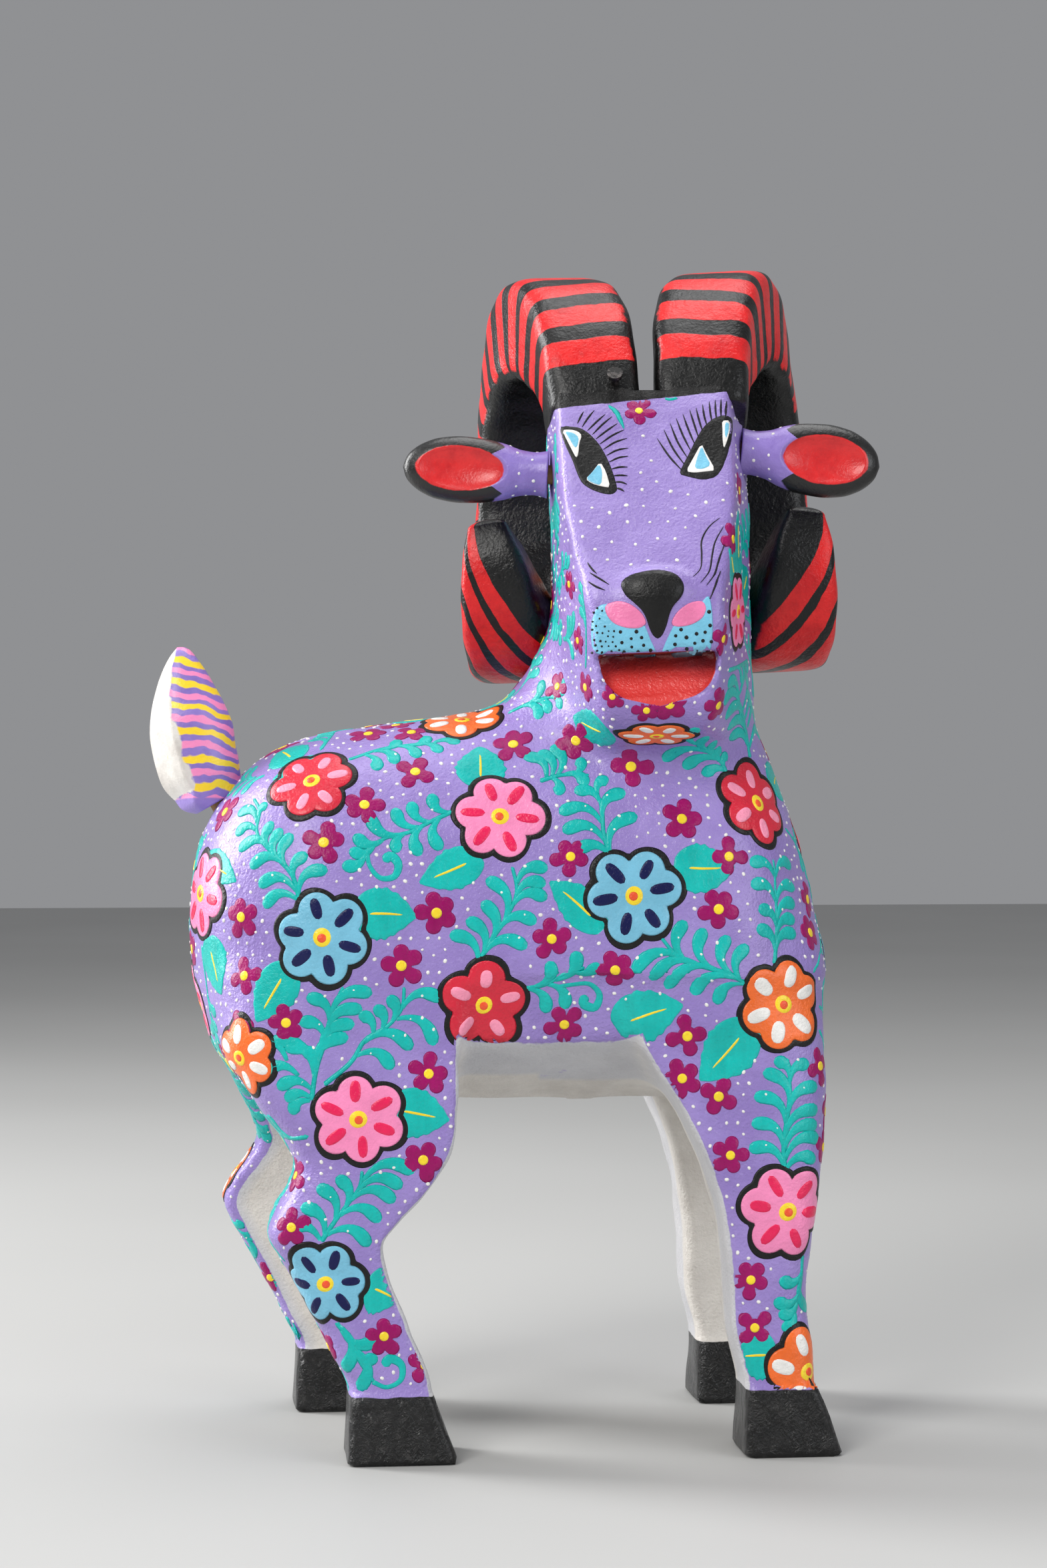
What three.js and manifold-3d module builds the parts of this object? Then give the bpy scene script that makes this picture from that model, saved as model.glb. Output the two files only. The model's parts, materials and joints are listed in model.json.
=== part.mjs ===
// Painted wooden ram, carved in one block, with separate horns, ears and tail.
// Millimetres. +X is the way the body faces, +Y is the ram's left, +Z is up.
// The origin is on the floor, under the middle of the figure's outer size.
// The head is turned to the ram's right, so that the face looks along -Y.
import * as THREE from 'three';
import { mergeVertices } from 'three/addons/utils/BufferGeometryUtils.js';
import Module from 'manifold-3d';

const wasm = await Module();
wasm.setup();

// ---------------------------------------------------------------- dimensions
const GAP = 0.3; // clearance between a piece and its seat or hole
const GRID = 6.2; // spacing of the mesh that wraps the carved block
const SOLE_Z = 0; // the flat soles of the hooves
const ORIGIN = [-15.42, 0.94]; // where the object's origin is, in the drawing below

// head: a frame of its own, u to the ram's tail-to-chest side, v to the nape, w up
const HEAD_X = 16.3, HEAD_Y = -5.2; // foot of the head's upright axis
const HEAD_YAW = -6 * Math.PI / 180; // the face looks a little to the rear
const HEAD_ROLL = 2.3 * Math.PI / 180; // the head leans a little
const HEAD_PIVOT = 205;

// horns: a curl in the u-v-w frame of the head
const HORN_V0 = 17, HORN_W0 = 220; // centre of the curl
const HORN_START = 20, HORN_END = 340; // degrees round the curl
const HORN_SHIFT_U = 1.2; // the pair sits a little off the middle of the crown
const HORN_RINGS = 35;

// ears
const EAR_RIGHT_W = 220.5, EAR_LEFT_W = 224, EAR_V = -9.5;
const EAR_ROOT_U = 22.0;
const EAR_RIGHT_LEN = 33.0, EAR_LEFT_LEN = 32.0;
const EAR_DOWEL_R = 2.2, EAR_DOWEL_IN = 12.0, EAR_DOWEL_OUT = 9.0;

// tail
const TAIL_ROOT = [-81.6, 0, 145.2];
const TAIL_LEAN = 30 * Math.PI / 180; // the peg leans to the rear
const TAIL_DOWEL_R = 2.6, TAIL_DOWEL_IN = 13.0, TAIL_DOWEL_OUT = 12.0;

// pegs under the horns
const PEG_R = 2.5;

// ------------------------------------------------------------------- helpers
// smooth curve through points, without overshoot
function curve(pts) {
  const n = pts.length, x = pts.map(p => p[0]), y = pts.map(p => p[1]);
  const h = [], d = [], m = new Array(n).fill(0);
  for (let i = 0; i < n - 1; i++) { h.push(x[i + 1] - x[i]); d.push((y[i + 1] - y[i]) / h[i]); }
  for (let i = 1; i < n - 1; i++) {
    if (d[i - 1] * d[i] <= 0) m[i] = 0;
    else {
      const a = 2 * h[i] + h[i - 1], b = h[i] + 2 * h[i - 1];
      m[i] = (a + b) / (a / d[i - 1] + b / d[i]);
    }
  }
  m[0] = d[0]; m[n - 1] = d[n - 2];
  return t => {
    if (t <= x[0]) return y[0];
    if (t >= x[n - 1]) return y[n - 1];
    let i = 0;
    while (t > x[i + 1]) i++;
    const s = (t - x[i]) / h[i], s2 = s * s, s3 = s2 * s;
    return (2 * s3 - 3 * s2 + 1) * y[i] + (s3 - 2 * s2 + s) * h[i] * m[i]
      + (-2 * s3 + 3 * s2) * y[i + 1] + (s3 - s2) * h[i] * m[i + 1];
  };
}
const smin = (a, b, k) => { const h = Math.max(k - Math.abs(a - b), 0) / k; return Math.min(a, b) - h * h * k / 4; };
const smax = (a, b, k) => -smin(-a, -b, k);

// head frame
const RX = Math.cos(HEAD_YAW), RY = Math.sin(HEAD_YAW);
const FX = -RY, FY = RX;
function headToBody(u, v, w) {
  const c = Math.cos(HEAD_ROLL), s = Math.sin(HEAD_ROLL), dw = w - HEAD_PIVOT;
  const uu = u * c - dw * s, ww = HEAD_PIVOT + u * s + dw * c;
  return [HEAD_X + uu * RX + v * FX, HEAD_Y + uu * RY + v * FY, ww];
}
function bodyToHead(x, y, z) {
  const c = Math.cos(HEAD_ROLL), s = Math.sin(HEAD_ROLL), dw = z - HEAD_PIVOT;
  const du = (x - HEAD_X) * RX + (y - HEAD_Y) * RY, v = (x - HEAD_X) * FX + (y - HEAD_Y) * FY;
  return [du * c + dw * s, v, HEAD_PIVOT - du * s + dw * c];
}
function headDir(u, v, w) {
  const a = headToBody(0, 0, 0), b = headToBody(u, v, w);
  return new THREE.Vector3(b[0] - a[0], b[1] - a[1], b[2] - a[2]).normalize();
}

// --------------------------------------------------- the carved block's shape
const topZ = curve([[-90, 158], [-60, 160.5], [-45, 162.5], [-30, 164.5], [-15, 166], [10, 166], [30, 163], [60, 160]]);
const botZ = curve([[-90, 76], [-50, 72], [-20, 70], [20, 70], [60, 74]]);
const midZ = curve([[-90, 118], [-50, 118], [0, 116], [30, 112], [60, 108]]);
const halfY = curve([[-90, 37], [-60, 39.5], [-35, 38.5], [-10, 37.5], [15, 38.5], [35, 39.5], [60, 37]]);
const chestLen = curve([[60, 32], [99, 31.6], [109, 31], [115, 29.6], [125, 27.5], [135, 27.1], [141, 26.3], [148, 26.3], [166, 26]]);
const KEEL_Z = 76, KEEL_SLOPE = 0.46;
function torso(x, y, z) {
  const c = midZ(x), hz = z > c ? topZ(x) - c : c - botZ(x), hy = halfY(x), n = 2.35;
  let e = 0;
  if (x < -54) e = (-54 - x) / 34.4;
  if (x > 26) e = (x - 26) / chestLen(z);
  const r = Math.pow(Math.pow(Math.abs(y) / hy, n) + Math.pow(Math.abs(z - c) / hz, n) + Math.pow(e, 2.15), 1 / n);
  const d = (r - 1) * 38;
  return smax(d, (KEEL_Z + KEEL_SLOPE * Math.abs(y) - z) * 0.908, 2);
}
// a leg: at each height a rounded box from back edge to front edge
function leg(side, back, front, outer, inner, shift, round) {
  return (x, y, z) => {
    const s = shift(z), xb = back(z) + s, xf = front(z) + s, yo = outer(z), yi = inner(z), r = round(z);
    const ax = (xf - xb) / 2, ay = (yo - yi) / 2;
    const dx = Math.abs(x - (xb + xf) / 2) - ax + r, dy = Math.abs(side * y - (yo + yi) / 2) - ay + r;
    const d = Math.hypot(Math.max(dx, 0), Math.max(dy, 0)) + Math.min(Math.max(dx, dy), 0) - r;
    return Math.max(d, z - 122);
  };
}
const rearBack = curve([[-12, -53.2], [15.6, -53.6], [24, -57.4], [36, -63.6], [45, -68.8], [50.5, -71.2], [55, -69.6], [60, -66.6], [64.6, -65.2], [70, -67.6], [76.7, -72.6], [84, -77.5], [92, -81.5], [104, -80], [122, -70]]);
const rearFront = curve([[-12, -35.6], [15.6, -35.7], [30, -40.7], [42, -45.2], [47.4, -46.2], [53, -42.5], [58, -37.8], [62.9, -34], [69, -31], [75, -29.8], [91, -29.6], [122, -29]]);
const rearOuter = curve([[-12, 38], [15, 37.6], [35, 37.2], [50, 37.8], [65, 38.6], [80, 38.4], [100, 36.5], [122, 30]]);
const rearInner = curve([[-12, 21.2], [15, 21], [35, 20.4], [50, 19], [62, 16], [76, 9], [90, 0], [122, 0]]);
const frontBack = curve([[-12, 34.4], [14.7, 34.2], [28.5, 31.4], [42, 30.6], [52.6, 29.2], [63, 26.4], [76.7, 20.2], [86, 14.2], [94, 10.2], [110, 10], [122, 12]]);
const frontFront = curve([[-12, 50], [14.7, 50.2], [37, 48.9], [46, 50], [60, 52.2], [74, 53.8], [90, 54.2], [105, 53.2], [122, 49]]);
const frontOuter = curve([[-12, 38.4], [15, 38], [37, 37.4], [60, 38], [85, 38], [105, 36], [122, 28]]);
const frontInner = curve([[-12, 21.2], [15, 21], [37, 20], [55, 18], [70, 14], [84, 6], [94, 0], [122, 0]]);
const zero = () => 0;
const farRear = curve([[40, -9.6], [55, -9.2], [75, -4.5], [92, 0]]);
const farFront = curve([[30, -1.2], [90, 0]]);
const legRound = curve([[0, 5], [30, 5.5], [60, 7], [95, 9]]);
const legs = [
  leg(-1, rearBack, rearFront, rearOuter, rearInner, zero, legRound),
  leg(1, rearBack, rearFront, rearOuter, rearInner, farRear, legRound),
  leg(-1, frontBack, frontFront, frontOuter, frontInner, zero, legRound),
  leg(1, frontBack, frontFront, frontOuter, frontInner, farFront, legRound),
];
// hooves: wedges, longer at the sole
function hoof(side, xb, xf0, xf1, yi, yo) {
  return (x, y, z) => {
    const t = Math.min(Math.max(z / 15, -0.6), 1), xf = xf0 + (xf1 - xf0) * t, r = 2.2;
    const b = xb - 0.8 * (1 - t), o = yo + 0.9 * (1 - t), i = yi - 0.6 * (1 - t);
    const dx = Math.abs(x - (b + xf) / 2) - (xf - b) / 2 + r, dy = Math.abs(side * y - (o + i) / 2) - (o - i) / 2 + r;
    const d = Math.hypot(Math.max(dx, 0), Math.max(dy, 0)) + Math.min(Math.max(dx, dy), 0) - r;
    return Math.max(d, z - 15.2);
  };
}
const hooves = [
  hoof(-1, -53.4, -29.6, -35.2, 20.4, 38.6), hoof(1, -63, -39.2, -44.8, 20.4, 38.6),
  hoof(-1, 34.6, 56, 50.4, 20.4, 39), hoof(1, 33.4, 54.8, 49.2, 20.4, 39),
];
// neck
const neckL = curve([[110, -34], [140, -24], [152, -19], [161, -15.8], [170, -12.8], [179, -8.8], [187, -5], [195, -3], [212, -3.2], [226, -4]]);
const neckR = curve([[110, 50], [125, 48.5], [140, 45.5], [152, 43.2], [161, 41.4], [170, 40.4], [179, 39.9], [195, 39.3], [226, 39.2]]);
const neckF = curve([[110, -36], [140, -33], [152, -30], [161, -28.5], [175, -27.5], [200, -27.5], [226, -26]]);
const neckB = curve([[110, 36], [140, 31], [152, 27.5], [165, 23.5], [180, 19], [200, 16], [226, 15]]);
function neck(x, y, z) {
  const cx = (neckL(z) + neckR(z)) / 2, ax = (neckR(z) - neckL(z)) / 2;
  const cy = (neckF(z) + neckB(z)) / 2, ay = (neckB(z) - neckF(z)) / 2, n = 2.7;
  const r = Math.pow(Math.pow(Math.abs(x - cx) / ax, n) + Math.pow(Math.abs(y - cy) / ay, n), 1 / n);
  return Math.max((r - 1) * 22, z - 230, 110 - z);
}
// head
const faceV = curve([[150, -26], [156, -30], [159.5, -35.5], [162, -39], [165, -41.4], [170, -43], [178, -45], [184, -45.8], [189, -45.4], [193, -43.8], [198, -41], [204, -37.6], [213, -32.6], [225, -26.4], [235, -21], [243, -15], [248, -8]]);
const faceA = curve([[150, 8], [158, 9.5], [162, 11], [168, 12.4], [178, 13.4], [186, 14], [195, 15.6], [205, 17.6], [213, 18.8], [235, 19.6], [248, 19]]);
const sideV = curve([[150, -14], [165, -18], [185, -20], [205, -18], [225, -15], [243, -8]]);
const napeV = curve([[150, 12], [190, 16], [215, 20], [232, 21], [243, 15], [248, 8]]);
const chinW = curve([[-48, 165], [-43, 160.8], [-38, 158.6], [-32, 156.8], [-26, 153], [-20, 146]]);
function head(x, y, z) {
  const [u, v, w] = bodyToHead(x, y, z);
  const au = Math.abs(u), half = 21.4 - Math.max(w - 236, 0) * 0.15;
  const vf = faceV(w), af = faceA(w), vs = sideV(w);
  const nu = vs - vf, nv = -(half - af), len = Math.hypot(nu, nv);
  let d = smax(au - half, vf - v, 3);
  d = smax(d, ((au - af) * nu + (v - vf) * nv) / len, 3);
  d = smax(d, v - napeV(w), 6);
  d = smax(d, w - 243.5, 5);
  d = smax(d, (chinW(v) - w) * 0.9, 3);
  d = Math.max(d, 146 - w);
  // nose
  const nn = Math.hypot(u / 8, (v + 44) / 3.4, (w - 190) / 6.5) - 1;
  d = smin(d, nn * 3.4, 1.5);
  return d;
}
const mouthV = curve([[160, -46], [166.4, -43.5], [168.5, -41.2], [172, -39.2], [177.4, -36]]);
const mouthU = curve([[165, -4], [166.6, 3], [167.6, 7], [170, 10.6], [173, 12.2], [177.4, 13.1]]);
function mouth(x, y, z) {
  const [u, v, w] = bodyToHead(x, y, z);
  return Math.max(v - mouthV(w), w - 177.4, Math.abs(u) - mouthU(w));
}
function block(x, y, z) {
  let d = torso(x, y, z);
  for (const l of legs) d = smin(d, l(x, y, z), 5);
  for (const h of hooves) d = smin(d, h(x, y, z), 0.8);
  if (z > 100) {
    d = smin(d, neck(x, y, z), 9);
    d = smin(d, head(x, y, z), 4);
    d = smax(d, -mouth(x, y, z), 0.6);
  }
  return Math.max(d, -7 - z);
}

// wrap a closed net of triangles round the shape
function wrap(field, lo, hi, step) {
  const n = lo.map((a, i) => Math.ceil((hi[i] - a) / step) + 1);
  const val = new Float64Array(n[0] * n[1] * n[2]);
  const at = (i, j, k) => i + n[0] * (j + n[1] * k);
  for (let k = 0; k < n[2]; k++) for (let j = 0; j < n[1]; j++) for (let i = 0; i < n[0]; i++)
    val[at(i, j, k)] = field(lo[0] + i * step, lo[1] + j * step, lo[2] + k * step);
  const id = new Map(), pos = [], idx = [];
  for (let k = 0; k < n[2] - 1; k++) for (let j = 0; j < n[1] - 1; j++) for (let i = 0; i < n[0] - 1; i++) {
    let c = 0, sx = 0, sy = 0, sz = 0;
    const v = (a, b, e) => val[at(i + a, j + b, k + e)];
    for (const [a, b] of EDGES) {
      const p = v(...a), q = v(...b);
      if ((p < 0) !== (q < 0)) {
        const t = p / (p - q); c++;
        sx += a[0] + t * (b[0] - a[0]); sy += a[1] + t * (b[1] - a[1]); sz += a[2] + t * (b[2] - a[2]);
      }
    }
    if (c) { id.set(at(i, j, k), pos.length / 3); pos.push(lo[0] + (i + sx / c) * step, lo[1] + (j + sy / c) * step, lo[2] + (k + sz / c) * step); }
  }
  const quad = (a, b, c, d, flip) => { flip ? idx.push(a, c, b, a, d, c) : idx.push(a, b, c, a, c, d); };
  for (let k = 1; k < n[2] - 1; k++) for (let j = 1; j < n[1] - 1; j++) for (let i = 1; i < n[0] - 1; i++) {
    const p = val[at(i, j, k)] < 0;
    const g = (a, b, e) => id.get(at(i + a, j + b, k + e));
    if (p !== (val[at(i + 1, j, k)] < 0)) quad(g(0, -1, -1), g(0, 0, -1), g(0, 0, 0), g(0, -1, 0), !p);
    if (p !== (val[at(i, j + 1, k)] < 0)) quad(g(-1, 0, -1), g(-1, 0, 0), g(0, 0, 0), g(0, 0, -1), !p);
    if (p !== (val[at(i, j, k + 1)] < 0)) quad(g(-1, -1, 0), g(0, -1, 0), g(0, 0, 0), g(-1, 0, 0), !p);
  }
  return geometry(pos, idx);
}
const EDGES = [];
for (let a = 0; a < 8; a++) for (const b of [1, 2, 4]) if (!(a & b)) {
  const p = a, q = a | b;
  EDGES.push([[p & 1, (p >> 1) & 1, (p >> 2) & 1], [q & 1, (q >> 1) & 1, (q >> 2) & 1]]);
}
function geometry(pos, idx) {
  const g = new THREE.BufferGeometry();
  g.setAttribute('position', new THREE.Float32BufferAttribute(pos, 3));
  g.setIndex(idx);
  return g;
}

// rings of points joined to one closed skin, first and last ring closed by a fan
function skin(rings) {
  const pos = [], idx = [], m = rings[0].length;
  rings.forEach(r => r.forEach(p => pos.push(...p)));
  for (let i = 0; i < rings.length - 1; i++) for (let j = 0; j < m; j++) {
    const a = i * m + j, b = i * m + (j + 1) % m, c = a + m, d = b + m;
    idx.push(a, b, d, a, d, c);
  }
  const cap = (r, base, flip) => {
    const c = pos.length / 3, s = [0, 0, 0];
    r.forEach(p => { for (let k = 0; k < 3; k++) s[k] += p[k] / m; });
    pos.push(...s);
    for (let j = 0; j < m; j++) { const a = base + j, b = base + (j + 1) % m; flip ? idx.push(c, b, a) : idx.push(c, a, b); }
  };
  cap(rings[0], 0, true);
  cap(rings[rings.length - 1], (rings.length - 1) * m, false);
  const g = geometry(pos, idx);
  if (volume(g) < 0) { const ix = g.index.array; for (let i = 0; i < ix.length; i += 3) { const t = ix[i]; ix[i] = ix[i + 1]; ix[i + 1] = t; } }
  return g;
}
function volume(g) {
  const p = g.attributes.position.array, ix = g.index.array; let v = 0;
  for (let i = 0; i < ix.length; i += 3) {
    const a = ix[i] * 3, b = ix[i + 1] * 3, c = ix[i + 2] * 3;
    v += p[a] * (p[b + 1] * p[c + 2] - p[b + 2] * p[c + 1]) - p[a + 1] * (p[b] * p[c + 2] - p[b + 2] * p[c]) + p[a + 2] * (p[b] * p[c + 1] - p[b + 1] * p[c]);
  }
  return v / 6;
}

// solids for cutting and joining
function solid(g) {
  let h = g.clone();
  h.deleteAttribute('normal'); h.deleteAttribute('uv');
  h = mergeVertices(h, 1e-5);
  return new wasm.Manifold(new wasm.Mesh({ numProp: 3, vertProperties: new Float32Array(h.attributes.position.array), triVerts: new Uint32Array(h.index.array) }));
}
// the triangles of a solid, with edges shorter than TINY drawn together
const TINY = 0.02;
function back(s) {
  const m = s.getMesh(), p = Array.from(m.vertProperties), t = Array.from(m.triVerts), k = m.numProp;
  const root = p.map((_, i) => i).slice(0, p.length / k);
  const find = i => { while (root[i] !== i) i = root[i] = root[root[i]]; return i; };
  const far = (a, b) => Math.hypot(p[a * k] - p[b * k], p[a * k + 1] - p[b * k + 1], p[a * k + 2] - p[b * k + 2]);
  for (let i = 0; i < t.length; i += 3) for (let e = 0; e < 3; e++) {
    const a = find(t[i + e]), b = find(t[i + (e + 1) % 3]);
    if (a !== b && far(a, b) < TINY) root[Math.max(a, b)] = Math.min(a, b);
  }
  const pos = [], idx = [], at = new Map();
  const put = i => { if (!at.has(i)) { at.set(i, pos.length / 3); pos.push(p[i * k], p[i * k + 1], p[i * k + 2]); } return at.get(i); };
  for (let i = 0; i < t.length; i += 3) {
    const f = [find(t[i]), find(t[i + 1]), find(t[i + 2])];
    if (f[0] !== f[1] && f[1] !== f[2] && f[0] !== f[2]) idx.push(...f.map(put));
  }
  return geometry(pos, idx);
}
// a rod from a to b
function rod(a, b, r0, r1 = r0, seg = 20) {
  const A = new THREE.Vector3(...a), B = new THREE.Vector3(...b), d = B.clone().sub(A);
  const g = new THREE.CylinderGeometry(r1, r0, d.length(), seg, 1);
  const q = new THREE.Quaternion().setFromUnitVectors(new THREE.Vector3(0, 1, 0), d.clone().normalize());
  g.applyQuaternion(q);
  const mid = A.add(B).multiplyScalar(0.5);
  g.translate(mid.x, mid.y, mid.z);
  return g;
}
const along = (p, d, t) => [p[0] + d.x * t, p[1] + d.y * t, p[2] + d.z * t];

// --------------------------------------------------------------------- horns
const curlV = curve([[20, 27], [180, 27], [270, 25], [340, 17.5]]);
const curlW = curve([[20, 35.5], [90, 37], [200, 35.8], [270, 35.5], [340, 30]]);
const hornU = curve([[20, 12.2], [45, 13.5], [70, 16.8], [90, 20.2], [120, 24.4], [180, 28.4], [270, 30.8], [340, 35.8]]);
const hornA = curve([[20, 10.6], [70, 11.9], [120, 12.1], [180, 11.8], [270, 11], [305, 9.4], [328, 7], [340, 4.6]]);
const hornR = curve([[20, 12], [90, 12], [180, 11.4], [270, 10.2], [300, 9], [322, 6.8], [340, 3.8]]);
const SECTION = [[1, 0], [1, 0.55], [0.86, 0.86], [0.55, 1], [0, 1.02], [-0.55, 1], [-0.86, 0.86], [-1, 0.55], [-1, 0], [-1, -0.55], [-0.86, -0.86], [-0.55, -1], [0, -1], [0.55, -1], [0.86, -0.86], [1, -0.55]];
function hornPoint(t) {
  const a = t * Math.PI / 180;
  return new THREE.Vector3(hornU(t), HORN_V0 - curlV(t) * Math.cos(a), HORN_W0 + curlW(t) * Math.sin(a));
}
function horn(side, grow) {
  const rings = [];
  for (let i = 0; i < HORN_RINGS; i++) {
    const t = HORN_START + (HORN_END - HORN_START) * i / (HORN_RINGS - 1), e = 0.5;
    const p = hornPoint(t), T = hornPoint(t + e).sub(hornPoint(t - e)).normalize();
    const c = new THREE.Vector3(0, p.y - HORN_V0, p.z - HORN_W0);
    let er = c.sub(T.clone().multiplyScalar(c.dot(T))).normalize();
    const el = new THREE.Vector3().crossVectors(T, er).normalize();
    if (el.x < 0) el.negate();
    const wide = side < 0 ? 1.6 * Math.max(0, Math.min(1, (t - 180) / 80)) : 0; // the right curl opens a little more
    const shift = grow ? (i === 0 ? -grow : i === HORN_RINGS - 1 ? grow : 0) : 0;
    const q = p.clone().addScaledVector(T, shift);
    rings.push(SECTION.map(([l, r]) => {
      const x = q.clone().addScaledVector(el, l * (hornA(t) + grow)).addScaledVector(er, r * (hornR(t) + grow));
      return headToBody(side * (x.x + wide) + HORN_SHIFT_U, x.y, x.z);
    }));
  }
  return skin(rings);
}

// ---------------------------------------------------------------------- ears
const earH = [[0, 5.4], [3, 4.9], [6, 5.2], [10, 6.4], [15, 7.3], [20, 7.4], [25, 6.5], [29, 4.6], [32, 2.2], [33, 1.0]];
const earD = [[0, 5.4], [3, 4.8], [7, 4.4], [12, 4.6], [20, 4.6], [27, 3.8], [31, 2.4], [33, 1.0]];
function ear(side, root, dir, tall, len, twist) {
  const H = curve(earH), D = curve(earD), rings = [], N = 13;
  const X = dir, Y0 = headDir(0, 1, 0), Z = new THREE.Vector3().crossVectors(X, Y0).normalize();
  if (Z.z < 0) Z.negate();
  const Y = new THREE.Vector3().crossVectors(Z, X).normalize();
  if (Y.y < 0) Y.negate();
  for (let i = 0; i < N; i++) {
    const s = 33 * i / (N - 1), h = H(s) * (1 + (tall - 1) * Math.min(s / 12, 1)), d = D(s);
    const c = along(root, X, s * len / 33);
    const ring = [];
    for (let j = 0; j < 18; j++) {
      const a = j / 18 * 2 * Math.PI + twist * Math.min(s / 12, 1);
      const b = j / 18 * 2 * Math.PI, cz = Math.cos(b) * h, cy = Math.sin(b) * d;
      const tw = twist * Math.min(s / 12, 1), z = cz * Math.cos(tw) - cy * Math.sin(tw), y = cz * Math.sin(tw) + cy * Math.cos(tw);
      ring.push([c[0] + Z.x * z + Y.x * y, c[1] + Z.y * z + Y.y * y, c[2] + Z.z * z + Y.z * y]);
    }
    rings.push(ring);
  }
  // hollow on the front
  const cup = new THREE.SphereGeometry(1, 18, 12);
  cup.scale(11.0 * len / 33, 3.4, 5.6 * tall);
  const m = new THREE.Matrix4().makeBasis(X, Y, Z);
  if (m.determinant() < 0) m.makeBasis(X, Y, Z.clone().negate());
  cup.applyMatrix4(new THREE.Matrix4().makeRotationX(0));
  cup.applyMatrix4(m);
  const c = along(along(root, X, 20 * len / 33), Y, -5.1);
  cup.translate(...c);
  return solid(skin(rings)).subtract(solid(cup));
}

// ---------------------------------------------------------------------- tail
const TAIL_AXIS = new THREE.Vector3(-Math.sin(TAIL_LEAN), 0, Math.cos(TAIL_LEAN));
const tailC = curve([[0, 0], [6, -1.2], [14, -2.2], [24, -0.6], [32, 3.2], [37.5, 7.2]]);
const tailD = curve([[0, 6.2], [3, 6.8], [8, 8.8], [14, 9.9], [20, 9.2], [28, 6.2], [34, 3.0], [37.5, 0.9]]);
const tailY = curve([[0, 6.2], [3, 6.4], [10, 7.4], [18, 7.2], [28, 5.0], [34, 2.6], [37.5, 0.9]]);
function tail() {
  const Z = TAIL_AXIS, X = new THREE.Vector3(Math.cos(TAIL_LEAN), 0, Math.sin(TAIL_LEAN)), rings = [], N = 15;
  for (let i = 0; i < N; i++) {
    const s = 37.5 * i / (N - 1), ring = [];
    const c = along(along(TAIL_ROOT, Z, s), X, tailC(s));
    for (let j = 0; j < 18; j++) {
      const a = j / 18 * 2 * Math.PI, t = Math.min(s / 5, 1);
      let cx = Math.cos(a), cy = Math.sin(a);
      if (cx < -0.72) cx = -0.72 * t + cx * (1 - t); // the rear is carved flat
      ring.push([c[0] + X.x * cx * tailD(s), c[1] + cy * tailY(s), c[2] + X.z * cx * tailD(s)]);
    }
    rings.push(ring);
  }
  return solid(skin(rings));
}

// ------------------------------------------------------------------ assembly
// the net is laid on a grid whose start is nudged until no two folds share an edge
function wrapClosed(field, lo, hi, step) {
  for (let i = 0; i < 40; i++) {
    const s = [0.37 * i, 0.23 * i, 0.31 * i].map(a => a % step);
    const g = wrap(field, lo.map((a, k) => a - s[k]), hi, step);
    try { return solid(g); } catch (e) { if (i === 39) throw e; }
  }
}
let carved = wrapClosed(block, [-97, -60, -9.7], [68, 52, 256], GRID);
const floorCut = new THREE.BoxGeometry(260, 200, 40);
floorCut.translate(0, 0, SOLE_Z - 20);
carved = carved.subtract(solid(floorCut));

const hornL = solid(horn(-1, 0)), hornRt = solid(horn(1, 0));
carved = carved.subtract(solid(horn(-1, GAP))).subtract(solid(horn(1, GAP)));

// slot between the two horns on the crown
const slot = new THREE.BoxGeometry(9, 60, 30);
slot.translate(0, 0, 15);
const q = new THREE.Matrix4().makeBasis(headDir(1, 0, 0), headDir(0, 1, 0), headDir(0, 0, 1));
slot.applyMatrix4(q);
slot.translate(...headToBody(HORN_SHIFT_U, 6, 237.6));
carved = carved.subtract(solid(slot));

const parts = {};
function peg(name, a, b, r, cutters) {
  parts[name] = solid(rod(a, b, r));
  const d = new THREE.Vector3(b[0] - a[0], b[1] - a[1], b[2] - a[2]).normalize();
  return solid(rod(along(a, d, -GAP), along(b, d, GAP), r + GAP));
}
// pegs that hold the horns on the crown
let hl = hornL, hr = hornRt;
for (const [side, tag] of [[-1, 'right'], [1, 'left']]) {
  const f = peg(`horn_peg_front_${tag}`, headToBody(side * 12 + HORN_SHIFT_U, 2, 219), headToBody(side * 12 + HORN_SHIFT_U, 2, 248), PEG_R);
  const r = peg(`horn_peg_rear_${tag}`, headToBody(side * 14.4 + HORN_SHIFT_U, 13, 228), headToBody(side * 14.4 + HORN_SHIFT_U, 13, 254), PEG_R);
  carved = carved.subtract(f).subtract(r);
  if (side < 0) hl = hl.subtract(f).subtract(r); else hr = hr.subtract(f).subtract(r);
}
// nail through the foot of one horn
const nailD = headDir(0, Math.cos(0.62), -Math.sin(0.62));
const nailTop = headToBody(-6.2, -20.6, 241.0);
const nailHole = solid(rod(along(nailTop, nailD, -3), along(nailTop, nailD, 17.3), 1.25, 1.25, 14));
const nailSink = solid(rod(along(nailTop, nailD, -6), along(nailTop, nailD, 0.3), 2.2, 2.2, 14));
parts.horn_nail = solid(rod(along(nailTop, nailD, -1.0), along(nailTop, nailD, 0), 1.8, 1.8, 14))
  .add(solid(rod(along(nailTop, nailD, -0.5), along(nailTop, nailD, 17), 0.95, 0.95, 14)));
carved = carved.subtract(nailHole).subtract(nailSink);
hl = hl.subtract(nailHole).subtract(nailSink);
parts.horn_right = hl;
parts.horn_left = hr;

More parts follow.
